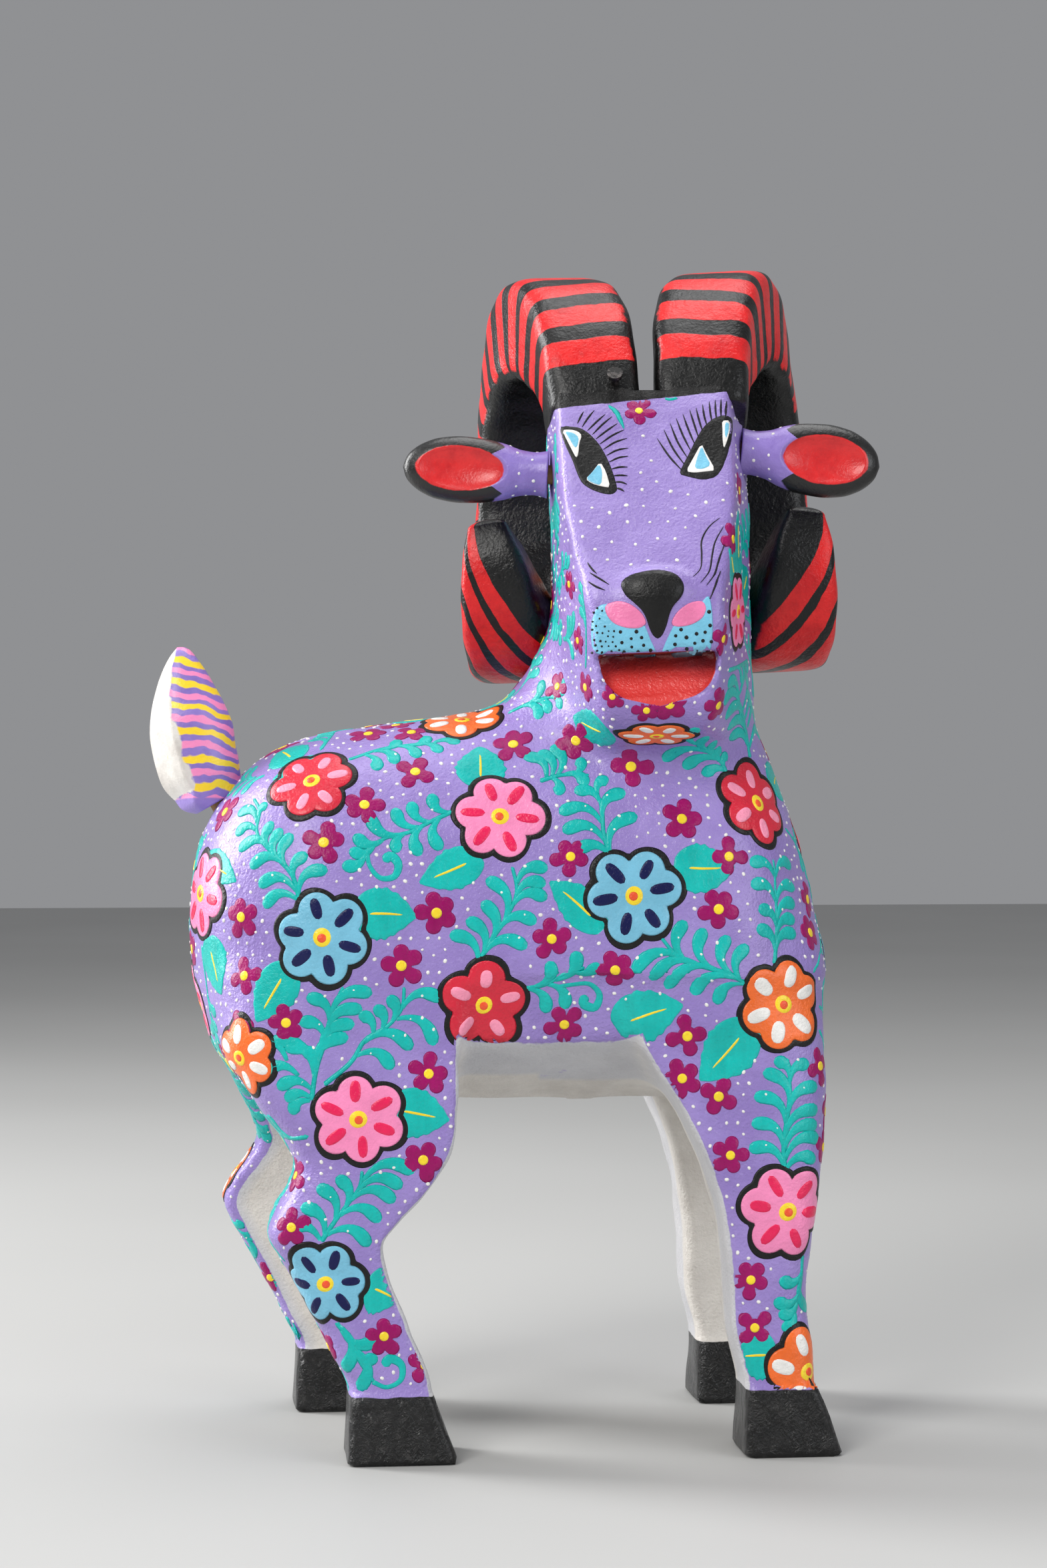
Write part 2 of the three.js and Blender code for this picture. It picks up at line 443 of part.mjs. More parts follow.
// ears on their dowels
for (const [side, tag, w, len, tilt, tall] of [[-1, 'right', EAR_RIGHT_W, EAR_RIGHT_LEN, 0.1, 1.0], [1, 'left', EAR_LEFT_W, EAR_LEFT_LEN, -0.15, 1.1]]) {
  const dir = headDir(side * Math.cos(tilt), 0.02, Math.sin(tilt));
  const root = headToBody(side * EAR_ROOT_U, EAR_V, w);
  const a = along(root, dir, -EAR_DOWEL_IN), b = along(root, dir, EAR_DOWEL_OUT);
  const hole = peg(`ear_dowel_${tag}`, a, b, EAR_DOWEL_R);
  const seat = solid(rod(along(root, dir, -GAP), along(root, dir, 14), 6.4, 9.5));
  carved = carved.subtract(hole).subtract(seat);
  parts[`ear_${tag}`] = ear(side, root, dir, tall, len, 0).subtract(hole);
}

// tail on its dowel
{
  const a = along(TAIL_ROOT, TAIL_AXIS, -TAIL_DOWEL_IN), b = along(TAIL_ROOT, TAIL_AXIS, TAIL_DOWEL_OUT);
  const hole = peg('tail_dowel', a, b, TAIL_DOWEL_R);
  const seat = solid(rod(along(TAIL_ROOT, TAIL_AXIS, -GAP), along(TAIL_ROOT, TAIL_AXIS, 16), 7.4, 12));
  carved = carved.subtract(hole).subtract(seat);
  parts.tail = tail().subtract(hole);
}
parts.carved_body = carved;

// ------------------------------------------------------------------- colours
const COLOURS = {
  carved_body: [0x8069b9, 0.42], horn_left: [0xe1191e, 0.38], horn_right: [0xe1191e, 0.38],
  ear_left: [0x8069b9, 0.42], ear_right: [0x8069b9, 0.42], tail: [0x8069b9, 0.42],
};
const group = new THREE.Group();
for (const [name, s] of Object.entries(parts)) {
  const [c, r] = COLOURS[name] ?? (name === 'horn_nail' ? [0x6f6f72, 0.4] : [0xc9a877, 0.7]);
  const mesh = new THREE.Mesh(back(s), new THREE.MeshStandardMaterial({ color: c, roughness: r, metalness: name === 'horn_nail' ? 0.8 : 0 }));
  mesh.name = name;
  group.add(mesh);
}
group.position.set(-ORIGIN[0], -ORIGIN[1], 0);
export default group;
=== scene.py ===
import json
import math
import bpy
import bmesh
import numpy as np
from mathutils import Vector, Matrix
from mathutils.bvhtree import BVHTree
from mathutils.kdtree import KDTree

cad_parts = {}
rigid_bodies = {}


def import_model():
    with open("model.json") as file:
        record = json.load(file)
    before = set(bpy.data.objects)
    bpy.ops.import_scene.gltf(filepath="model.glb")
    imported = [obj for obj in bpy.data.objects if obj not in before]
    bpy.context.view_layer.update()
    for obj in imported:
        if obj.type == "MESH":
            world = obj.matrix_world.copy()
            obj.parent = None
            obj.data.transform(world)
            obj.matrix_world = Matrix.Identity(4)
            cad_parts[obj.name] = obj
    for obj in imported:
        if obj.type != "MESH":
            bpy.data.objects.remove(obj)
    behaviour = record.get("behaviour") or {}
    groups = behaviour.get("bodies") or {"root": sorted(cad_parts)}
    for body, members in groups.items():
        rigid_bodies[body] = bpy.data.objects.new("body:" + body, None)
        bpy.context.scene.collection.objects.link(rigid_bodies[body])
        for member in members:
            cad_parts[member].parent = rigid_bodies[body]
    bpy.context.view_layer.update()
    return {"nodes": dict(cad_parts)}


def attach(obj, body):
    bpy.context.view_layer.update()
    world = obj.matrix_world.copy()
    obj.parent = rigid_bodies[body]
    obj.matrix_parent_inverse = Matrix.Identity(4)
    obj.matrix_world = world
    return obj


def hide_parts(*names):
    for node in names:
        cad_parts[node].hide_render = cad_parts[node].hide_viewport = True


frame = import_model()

ROOT = "carved_ram"
OX, OY = 15.42, -0.94          # drawing (mm) -> row frame (mm)
rng = np.random.default_rng(20)


def to_row(p):
    """drawing millimetres -> row metres"""
    p = np.asarray(p, float)
    return (p + np.array([OX, OY, 0.0])) * 0.001


# ------------------------------------------------------------------ the shape
class Curve:
    def __init__(self, pts):
        self.x = np.array([p[0] for p in pts], float)
        self.y = np.array([p[1] for p in pts], float)
        h = np.diff(self.x)
        d = np.diff(self.y) / h
        m = np.zeros(len(self.x))
        for i in range(1, len(self.x) - 1):
            if d[i - 1] * d[i] > 0:
                a, b = 2 * h[i] + h[i - 1], h[i] + 2 * h[i - 1]
                m[i] = (a + b) / (a / d[i - 1] + b / d[i])
        m[0], m[-1] = d[0], d[-1]
        self.h, self.m = h, m

    def __call__(self, t):
        t = np.clip(np.asarray(t, float), self.x[0], self.x[-1])
        i = np.clip(np.searchsorted(self.x, t, side="right") - 1, 0, len(self.h) - 1)
        h = self.h[i]
        s = (t - self.x[i]) / h
        s2, s3 = s * s, s * s * s
        return ((2 * s3 - 3 * s2 + 1) * self.y[i] + (s3 - 2 * s2 + s) * h * self.m[i]
                + (-2 * s3 + 3 * s2) * self.y[i + 1] + (s3 - s2) * h * self.m[i + 1])


def smin(a, b, k):
    h = np.maximum(k - np.abs(a - b), 0) / k
    return np.minimum(a, b) - h * h * k / 4


def smax(a, b, k):
    return -smin(-a, -b, k)


HX, HY, HP = 16.3, -5.2, 205.0
YAW, ROLL = math.radians(-6), math.radians(2.3)
RX, RY = math.cos(YAW), math.sin(YAW)
FX, FY = -RY, RX
CR, SR = math.cos(ROLL), math.sin(ROLL)


def head_to_body(u, v, w):
    dw = w - HP
    uu, ww = u * CR - dw * SR, HP + u * SR + dw * CR
    return np.stack([HX + uu * RX + v * FX, HY + uu * RY + v * FY, ww + 0 * v], -1)


def body_to_head(x, y, z):
    dw = z - HP
    du = (x - HX) * RX + (y - HY) * RY
    v = (x - HX) * FX + (y - HY) * FY
    return du * CR + dw * SR, v, HP - du * SR + dw * CR


def head_dir(u, v, w):
    a, b = head_to_body(0., 0., 0.), head_to_body(float(u), float(v), float(w))
    d = b - a
    return d / np.linalg.norm(d)


topZ = Curve([[-90, 158], [-60, 160.5], [-45, 162.5], [-30, 164.5], [-15, 166], [10, 166], [30, 163], [60, 160]])
botZ = Curve([[-90, 76], [-50, 72], [-20, 70], [20, 70], [60, 74]])
midZ = Curve([[-90, 118], [-50, 118], [0, 116], [30, 112], [60, 108]])
halfY = Curve([[-90, 37], [-60, 39.5], [-35, 38.5], [-10, 37.5], [15, 38.5], [35, 39.5], [60, 37]])
chestLen = Curve([[60, 32], [99, 31.6], [109, 31], [115, 29.6], [125, 27.5], [135, 27.1], [141, 26.3], [148, 26.3], [166, 26]])
KEEL_Z, KEEL_SLOPE = 76.0, 0.46


def torso(x, y, z):
    c = midZ(x)
    hz = np.where(z > c, topZ(x) - c, c - botZ(x))
    hy = halfY(x)
    n = 2.35
    e = np.where(x < -54, (-54 - x) / 34.4, np.where(x > 26, (x - 26) / chestLen(z), 0))
    r = (np.power(np.abs(y) / hy, n) + np.power(np.abs(z - c) / hz, n) + np.power(e, 2.15)) ** (1 / n)
    d = (r - 1) * 38
    return smax(d, (KEEL_Z + KEEL_SLOPE * np.abs(y) - z) * 0.908, 1.6)


rearBack = Curve([[-12, -53.2], [15.6, -53.6], [24, -57.4], [36, -63.6], [45, -68.8], [50.5, -71.2], [55, -69.6], [60, -66.6], [64.6, -65.2], [70, -67.6], [76.7, -72.6], [84, -77.5], [92, -81.5], [104, -80], [122, -70]])
rearFront = Curve([[-12, -35.6], [15.6, -35.7], [30, -40.7], [42, -45.2], [47.4, -46.2], [53, -42.5], [58, -37.8], [62.9, -34], [69, -31], [75, -29.8], [91, -29.6], [122, -29]])
rearOuter = Curve([[-12, 38], [15, 37.6], [35, 37.2], [50, 37.8], [65, 38.6], [80, 38.4], [100, 36.5], [122, 30]])
rearInner = Curve([[-12, 21.2], [15, 21], [35, 20.4], [50, 19], [62, 16], [76, 9], [90, 0], [122, 0]])
frontBack = Curve([[-12, 34.4], [14.7, 34.2], [28.5, 31.4], [42, 30.6], [52.6, 29.2], [63, 26.4], [76.7, 20.2], [86, 14.2], [94, 10.2], [110, 10], [122, 12]])
frontFront = Curve([[-12, 50], [14.7, 50.2], [37, 48.9], [46, 50], [60, 52.2], [74, 53.8], [90, 54.2], [105, 53.2], [122, 49]])
frontOuter = Curve([[-12, 38.4], [15, 38], [37, 37.4], [60, 38], [85, 38], [105, 36], [122, 28]])
frontInner = Curve([[-12, 21.2], [15, 21], [37, 20], [55, 18], [70, 14], [84, 6], [94, 0], [122, 0]])
farRear = Curve([[40, -9.6], [55, -9.2], [75, -4.5], [92, 0]])
farFront = Curve([[30, -1.2], [90, 0]])
outRound = Curve([[0, 4], [30, 7], [60, 10], [95, 16]])
LEGS = [(-1, "r", None), (1, "r", farRear), (-1, "f", None), (1, "f", farFront)]


def leg(kind, side, shift, x, y, z):
    s = 0 if shift is None else shift(z)
    if kind == "r":
        xb, xf, yo, yi = rearBack(z) + s, rearFront(z) + s, rearOuter(z), rearInner(z)
    else:
        xb, xf, yo, yi = frontBack(z) + s, frontFront(z) + s, frontOuter(z), frontInner(z)
    A, B, O, I = x - xf, xb - x, side * y - yo, yi - side * y
    k = outRound(z)
    if kind == "r":
        d = smax(smax(B, O, k), A, 2.0)
    else:
        d = smax(smax(A, O, k), B, 2.0)
    d = smax(d, I, 4.0)
    return np.maximum(d, z - 122)


HOOVES = [(-1, -53.4, -29.6, -35.2, 20.4, 38.6), (1, -63, -39.2, -44.8, 20.4, 38.6),
          (-1, 34.6, 56, 50.4, 20.4, 39), (1, 33.4, 54.8, 49.2, 20.4, 39)]


def hoof(side, xb, xf0, xf1, yi, yo, x, y, z):
    t = np.clip(z / 15, -0.6, 1)
    xf = xf0 + (xf1 - xf0) * t
    b, o, i = xb - 0.8 * (1 - t), yo + 0.9 * (1 - t), yi - 0.6 * (1 - t)
    r = 1.8
    dx = np.abs(x - (b + xf) / 2) - (xf - b) / 2 + r
    dy = np.abs(side * y - (o + i) / 2) - (o - i) / 2 + r
    d = np.hypot(np.maximum(dx, 0), np.maximum(dy, 0)) + np.minimum(np.maximum(dx, dy), 0) - r
    return smax(d, z - 15.2, 0.8)


neckL = Curve([[110, -34], [140, -24], [152, -19], [161, -15.8], [170, -12.8], [179, -8.8], [187, -5], [195, -3], [212, -3.2], [226, -4]])
neckR = Curve([[110, 50], [125, 48.5], [140, 45.5], [152, 43.2], [161, 41.4], [170, 40.4], [179, 39.9], [195, 39.3], [226, 39.2]])
neckF = Curve([[110, -36], [140, -33], [152, -30], [161, -28.5], [175, -27.5], [200, -27.5], [226, -26]])
neckB = Curve([[110, 36], [140, 31], [152, 27.5], [165, 23.5], [180, 19], [200, 16], [226, 15]])


def neck(x, y, z):
    l, r_, f, b = neckL(z), neckR(z), neckF(z), neckB(z)
    cx, ax, cy, ay, n = (l + r_) / 2, (r_ - l) / 2, (f + b) / 2, (b - f) / 2, 2.7
    r = (np.power(np.abs(x - cx) / ax, n) + np.power(np.abs(y - cy) / ay, n)) ** (1 / n)
    return np.maximum(np.maximum((r - 1) * 22, z - 230), 110 - z)


faceV = Curve([[150, -26], [156, -30], [159.5, -35.5], [162, -39], [165, -41.4], [170, -43], [178, -45], [184, -45.8], [189, -45.4], [193, -43.8], [198, -41], [204, -37.6], [213, -32.6], [225, -26.4], [235, -21], [243, -15], [248, -8]])
faceA = Curve([[150, 8], [158, 9.5], [162, 11], [168, 12.4], [178, 13.4], [186, 14], [195, 15.6], [205, 17.6], [213, 18.8], [235, 19.6], [248, 19]])
sideV = Curve([[150, -14], [165, -18], [185, -20], [205, -18], [225, -15], [243, -8]])
napeV = Curve([[150, 12], [190, 16], [215, 20], [232, 21], [243, 15], [248, 8]])
chinW = Curve([[-48, 165], [-43, 160.8], [-38, 158.6], [-32, 156.8], [-26, 153], [-20, 146]])


def head(x, y, z):
    u, v, w = body_to_head(x, y, z)
    au = np.abs(u)
    half = 21.4 - np.maximum(w - 236, 0) * 0.15
    vf, af, vs = faceV(w), faceA(w), sideV(w)
    nu, nv = vs - vf, -(half - af)
    ln = np.hypot(nu, nv)
    d = smax(au - half, vf - v, 3)
    d = smax(d, ((au - af) * nu + (v - vf) * nv) / ln, 2.6)
    d = smax(d, v - napeV(w), 6)
    d = smax(d, w - 243.5, 4)
    d = smax(d, (chinW(v) - w) * 0.9, 3)
    d = np.maximum(d, 146 - w)
    nn = np.sqrt((u / 8) ** 2 + ((v + 44) / 3.4) ** 2 + ((w - 190) / 6.5) ** 2) - 1
    d = smin(d, nn * 3.4, 1.5)
    # puffed cheeks of the muzzle and the rim of the lower lip
    for s in (-1, 1):
        c = np.sqrt(((u - s * 7.2) / 5.8) ** 2 + ((v + 43.6) / 2.6) ** 2 + ((w - 183.4) / 4.6) ** 2) - 1
        d = smin(d, c * 2.6, 1.6)
    return d


mouthV = Curve([[160, -46], [166.4, -43.5], [168.5, -41.2], [172, -39.2], [177.4, -36]])
mouthU = Curve([[165, -4], [166.6, 3], [167.6, 7], [170, 10.6], [173, 12.2], [177.4, 13.1]])


def mouth(x, y, z):
    u, v, w = body_to_head(x, y, z)
    return np.maximum(np.maximum(v - mouthV(w), w - 177.4), np.abs(u) - mouthU(w))


def carve(x, y, z):
    """broad knife marks, a few tenths of a millimetre"""
    return (0.16 * np.sin(x * 0.31 + 1.3 * np.sin(z * 0.11)) * np.sin(z * 0.23 + y * 0.19 + 0.7)
            + 0.12 * np.sin(z * 0.47 + 0.9 * np.sin(x * 0.21 + y * 0.13)) * np.cos(y * 0.33 + x * 0.12))


def block(p):
    x, y, z = p[:, 0], p[:, 1], p[:, 2]
    d = torso(x, y, z)
    low = z < 128
    if low.any():
        xl, yl, zl = x[low], y[low], z[low]
        dl = d[low]
        for side, kind, sh in LEGS:
            dl = smin(dl, leg(kind, side, sh, xl, yl, zl), 5.0)
        for h in HOOVES:
            dl = smin(dl, hoof(*h, xl, yl, zl), 0.8)
        d = d.copy()
        d[low] = dl
    up = z > 100
    if up.any():
        xu, yu, zu = x[up], y[up], z[up]
        du = smin(d[up], neck(xu, yu, zu), 9)
        du = smin(du, head(xu, yu, zu), 4)
        du = smax(du, -mouth(xu, yu, zu), 0.5)
        u, v, w = body_to_head(xu, yu, zu)
        slot = np.maximum(np.maximum(np.abs(u - 1.2) - 4.5, 237.6 - w), np.abs(v - 6) - 30)
        du = smax(du, -slot, 1.2)
        d[up] = du
    d = d + carve(x, y, z)
    return np.maximum(d, -z)


def gradient(p, e=0.12):
    f0 = block(p)
    g = np.stack([block(p + np.array(a)) - f0 for a in ([e, 0, 0], [0, e, 0], [0, 0, e])], -1) / e
    return f0, g


def settle(p, steps=2):
    """points drawn onto the surface; returns points and outward normals"""
    for _ in range(steps):
        f, g = gradient(p)
        g2 = np.maximum((g * g).sum(1), 0.05)
        st = np.clip(f / g2, -3, 3)
        p = p - g * st[:, None]
    f, g = gradient(p)
    n = g / np.maximum(np.linalg.norm(g, axis=1, keepdims=True), 1e-6)
    return p, n


def surface_net(lo, hi, step):
    n = np.ceil((np.array(hi) - lo) / step).astype(int) + 1
    ax = [lo[i] + step * np.arange(n[i]) for i in range(3)]
    # coarse pass
    q = 4
    cax = [a[::q] for a in ax]
    C = np.stack(np.meshgrid(*cax, indexing="ij"), -1).reshape(-1, 3)
    cv = block(C).reshape([len(a) for a in cax])
    idx = [np.minimum((np.arange(n[i]) + q // 2) // q, len(cax[i]) - 1) for i in range(3)]
    val = cv[np.ix_(*idx)].copy()
    near = np.abs(val) < 9.5
    ii = np.argwhere(near)
    P = np.stack([ax[0][ii[:, 0]], ax[1][ii[:, 1]], ax[2][ii[:, 2]]], -1)
    out = np.empty(len(P))
    for s in range(0, len(P), 400000):
        out[s:s + 400000] = block(P[s:s + 400000])
    val[near] = out
    ins = val < 0
    m = [k - 1 for k in n]
    cnt = np.zeros(m, np.int8)
    for a in (0, 1):
        for b in (0, 1):
            for c in (0, 1):
                cnt += ins[a:a + m[0], b:b + m[1], c:c + m[2]]
    act = np.argwhere((cnt > 0) & (cnt < 8))
    ids = -np.ones(m, np.int64)
    ids[act[:, 0], act[:, 1], act[:, 2]] = np.arange(len(act))
    acc = np.zeros((len(act), 3))
    num = np.zeros(len(act))
    corners = [(a, b, c) for a in (0, 1) for b in (0, 1) for c in (0, 1)]
    for p in corners:
        for k in range(3):
            if p[k]:
                continue
            r = list(p)
            r[k] = 1
            vp = val[act[:, 0] + p[0], act[:, 1] + p[1], act[:, 2] + p[2]]
            vq = val[act[:, 0] + r[0], act[:, 1] + r[1], act[:, 2] + r[2]]
            x = (vp < 0) != (vq < 0)
            t = np.where(x, vp / np.where(x, vp - vq, 1), 0)
            pt = np.array(p, float)[None, :] + t[:, None] * (np.array(r, float) - np.array(p, float))[None, :]
            acc += pt * x[:, None]
            num += x
    V = np.array(lo) + (act + acc / num[:, None]) * step
    faces = []
    for k in range(3):
        o1, o2 = [(1, 2), (2, 0), (0, 1)][k]
        sl0 = [slice(1, n[i] - 1) for i in range(3)]
        a = ins[tuple(sl0)]
        sl1 = list(sl0)
        sl1[k] = slice(2, n[k])
        b = ins[tuple(sl1)]
        e = np.argwhere(a != b) + 1
        pin = ins[e[:, 0], e[:, 1], e[:, 2]]
        quad = []
        for d1, d2 in ((-1, -1), (0, -1), (0, 0), (-1, 0)):
            s = e.copy()
            s[:, o1] += d1
            s[:, o2] += d2
            quad.append(ids[s[:, 0], s[:, 1], s[:, 2]])
        Q = np.stack(quad, -1)
        Q[~pin] = Q[~pin][:, ::-1]
        faces.append(Q)
    return V, np.concatenate(faces)


def make_mesh(name, V, F, smooth=True, attrs=None, coll=None):
    me = bpy.data.meshes.new(name)
    if not isinstance(F, list):
        me.vertices.add(len(V))
        me.vertices.foreach_set("co", np.asarray(V, np.float32).ravel())
        k = F.shape[1]
        me.loops.add(F.size)
        me.loops.foreach_set("vertex_index", F.astype(np.int32).ravel())
        me.polygons.add(len(F))
        me.polygons.foreach_set("loop_start", np.arange(0, F.size, k, dtype=np.int32))
        me.update(calc_edges=True)
    else:
        me.from_pydata([tuple(v) for v in V], [], [list(f) for f in F])
    me.polygons.foreach_set("use_smooth", np.full(len(me.polygons), smooth))
    for a, vals in (attrs or {}).items():
        at = me.attributes.new(a, "FLOAT", "POINT")
        at.data.foreach_set("value", np.asarray(vals, np.float32))
    me.validate()
    me.update()
    ob = bpy.data.objects.new(name, me)
    bpy.context.scene.collection.objects.link(ob)
    return ob


# -------------------------------------------------------------- node materials
def srgb(r, g, b):
    def f(c):
        c /= 255.0
        return c / 12.92 if c <= 0.04045 else ((c + 0.055) / 1.055) ** 2.4
    return (f(r), f(g), f(b), 1.0)


class Mat:
    """a small helper for node graphs"""

    def __init__(self, name):
        self.m = bpy.data.materials.new(name)
        self.m.use_nodes = True
        self.t = self.m.node_tree
        self.b = self.t.nodes["Principled BSDF"]
        self.co = self.node("ShaderNodeTexCoord").outputs["Object"]

    def node(self, kind, **kw):
        n = self.t.nodes.new(kind)
        for k, v in kw.items():
            setattr(n, k, v)
        return n

    def link(self, a, b):
        self.t.links.new(a, b)

    def put(self, sock, v):
        if isinstance(v, bpy.types.NodeSocket):
            self.link(v, sock)
        else:
            sock.default_value = v

    def attr(self, name):
        return self.node("ShaderNodeAttribute", attribute_name=name).outputs["Fac"]

    def math(self, op, a, b=0.0, c=0.0, clamp=False):
        n = self.node("ShaderNodeMath", operation=op, use_clamp=clamp)
        self.put(n.inputs[0], a)
        self.put(n.inputs[1], b)
        if len(n.inputs) > 2:
            self.put(n.inputs[2], c)
        return n.outputs[0]

    def noise(self, scale, detail=3.0, rough=0.5, dist=0.0, vec=None, col=False):
        n = self.node("ShaderNodeTexNoise")
        n.inputs["Scale"].default_value = scale
        n.inputs["Detail"].default_value = detail
        n.inputs["Roughness"].default_value = rough
        n.inputs["Distortion"].default_value = dist
        self.link(vec or self.co, n.inputs["Vector"])
        return n.outputs["Color" if col else "Fac"]

    def stretch(self, sx, sy, sz, rot=(0, 0, 0)):
        n = self.node("ShaderNodeMapping")
        n.inputs["Scale"].default_value = (sx, sy, sz)
        n.inputs["Rotation"].default_value = rot
        self.link(self.co, n.inputs["Vector"])
        return n.outputs[0]

    def ramp(self, v, lo, hi, a=0.0, b=1.0):
        n = self.node("ShaderNodeMapRange")
        n.clamp = True
        self.put(n.inputs["Value"], v)
        self.put(n.inputs["From Min"], lo)
        self.put(n.inputs["From Max"], hi)
        self.put(n.inputs["To Min"], a)
        self.put(n.inputs["To Max"], b)
        return n.outputs[0]

    def mix(self, f, a, b, blend="MIX"):
        n = self.node("ShaderNodeMix", data_type="RGBA", blend_type=blend)
        self.put(n.inputs["Factor"], f)
        self.put(n.inputs["A"], a) if False else None
        ins = [i for i in n.inputs if i.type == "RGBA"]
        self.put(ins[0], a)
        self.put(ins[1], b)
        return [o for o in n.outputs if o.type == "RGBA"][0]

    def bump(self, h, strength, dist, normal=None):
        n = self.node("ShaderNodeBump")
        n.inputs["Strength"].default_value = strength
        n.inputs["Distance"].default_value = dist
        self.link(h, n.inputs["Height"])
        if normal is not None:
            self.link(normal, n.inputs["Normal"])
        return n.outputs[0]

    def done(self, color, rough, normal=None, coat=0.0, coat_rough=0.2, spec=0.5, metal=0.0):
        self.put(self.b.inputs["Base Color"], color)
        self.put(self.b.inputs["Roughness"], rough)
        self.b.inputs["Specular IOR Level"].default_value = spec
        self.b.inputs["Metallic"].default_value = metal
        self.b.inputs["Coat Weight"].default_value = coat
        self.b.inputs["Coat Roughness"].default_value = coat_rough
        if normal is not None:
            self.link(normal, self.b.inputs["Normal"])
        return self.m


PURPLE = srgb(120, 96, 190)
WHITE = srgb(214, 208, 200)
BLACK = srgb(18, 17, 17)
RED = srgb(218, 24, 28)


def grain(m, strength=0.35, coarse=True):
    """the fine pebbly skin of brushed paint over sanded wood"""
    a = m.noise(1500, 2.0, 0.55)
    b = m.noise(520, 3.0, 0.6)
    h = m.math("ADD", m.math("MULTIPLY", a, 0.55), m.math("MULTIPLY", b, 0.75))
    n = m.bump(h, strength, 0.00046)
    if coarse:
        w = m.noise(90, 2.0, 0.5, vec=m.stretch(1, 1, 0.25))
        n = m.bump(w, 0.16, 0.0012, n)
    return n


def paint(name, col, rough=0.36, var=0.12, strength=0.35, coat=0.25, streak=0.0, spec=0.5):
    m = Mat(name)
    dark = tuple(c * (1 - var) for c in col[:3]) + (1,)
    lite = tuple(min(1, c * (1 + var * 0.6) + 0.004) for c in col[:3]) + (1,)
    f = m.ramp(m.noise(140, 4, 0.6), 0.35, 0.65)
    c = m.mix(f, dark, lite)
    if streak:
        s = m.ramp(m.noise(420, 3, 0.7, vec=m.stretch(1, 1, 0.12)), 0.42, 0.7)
        c = m.mix(m.math("MULTIPLY", s, streak), c, tuple(x * 0.55 for x in col[:3]) + (1,))
    r = m.ramp(m.noise(800, 2, 0.5), 0.3, 0.7, rough - 0.06, rough + 0.08)
    return m.done(c, r, grain(m, strength), coat, 0.22, spec)


def wood(name, a=(196, 158, 108), b=(160, 118, 72)):
    m = Mat(name)
    v = m.stretch(1, 1, 0.12)
    f = m.ramp(m.noise(330, 4, 0.6, 0.8, v), 0.3, 0.7)
    c = m.mix(f, srgb(*a), srgb(*b))
    return m.done(c, 0.62, m.bump(f, 0.25, 0.0002), 0.0, spec=0.3)


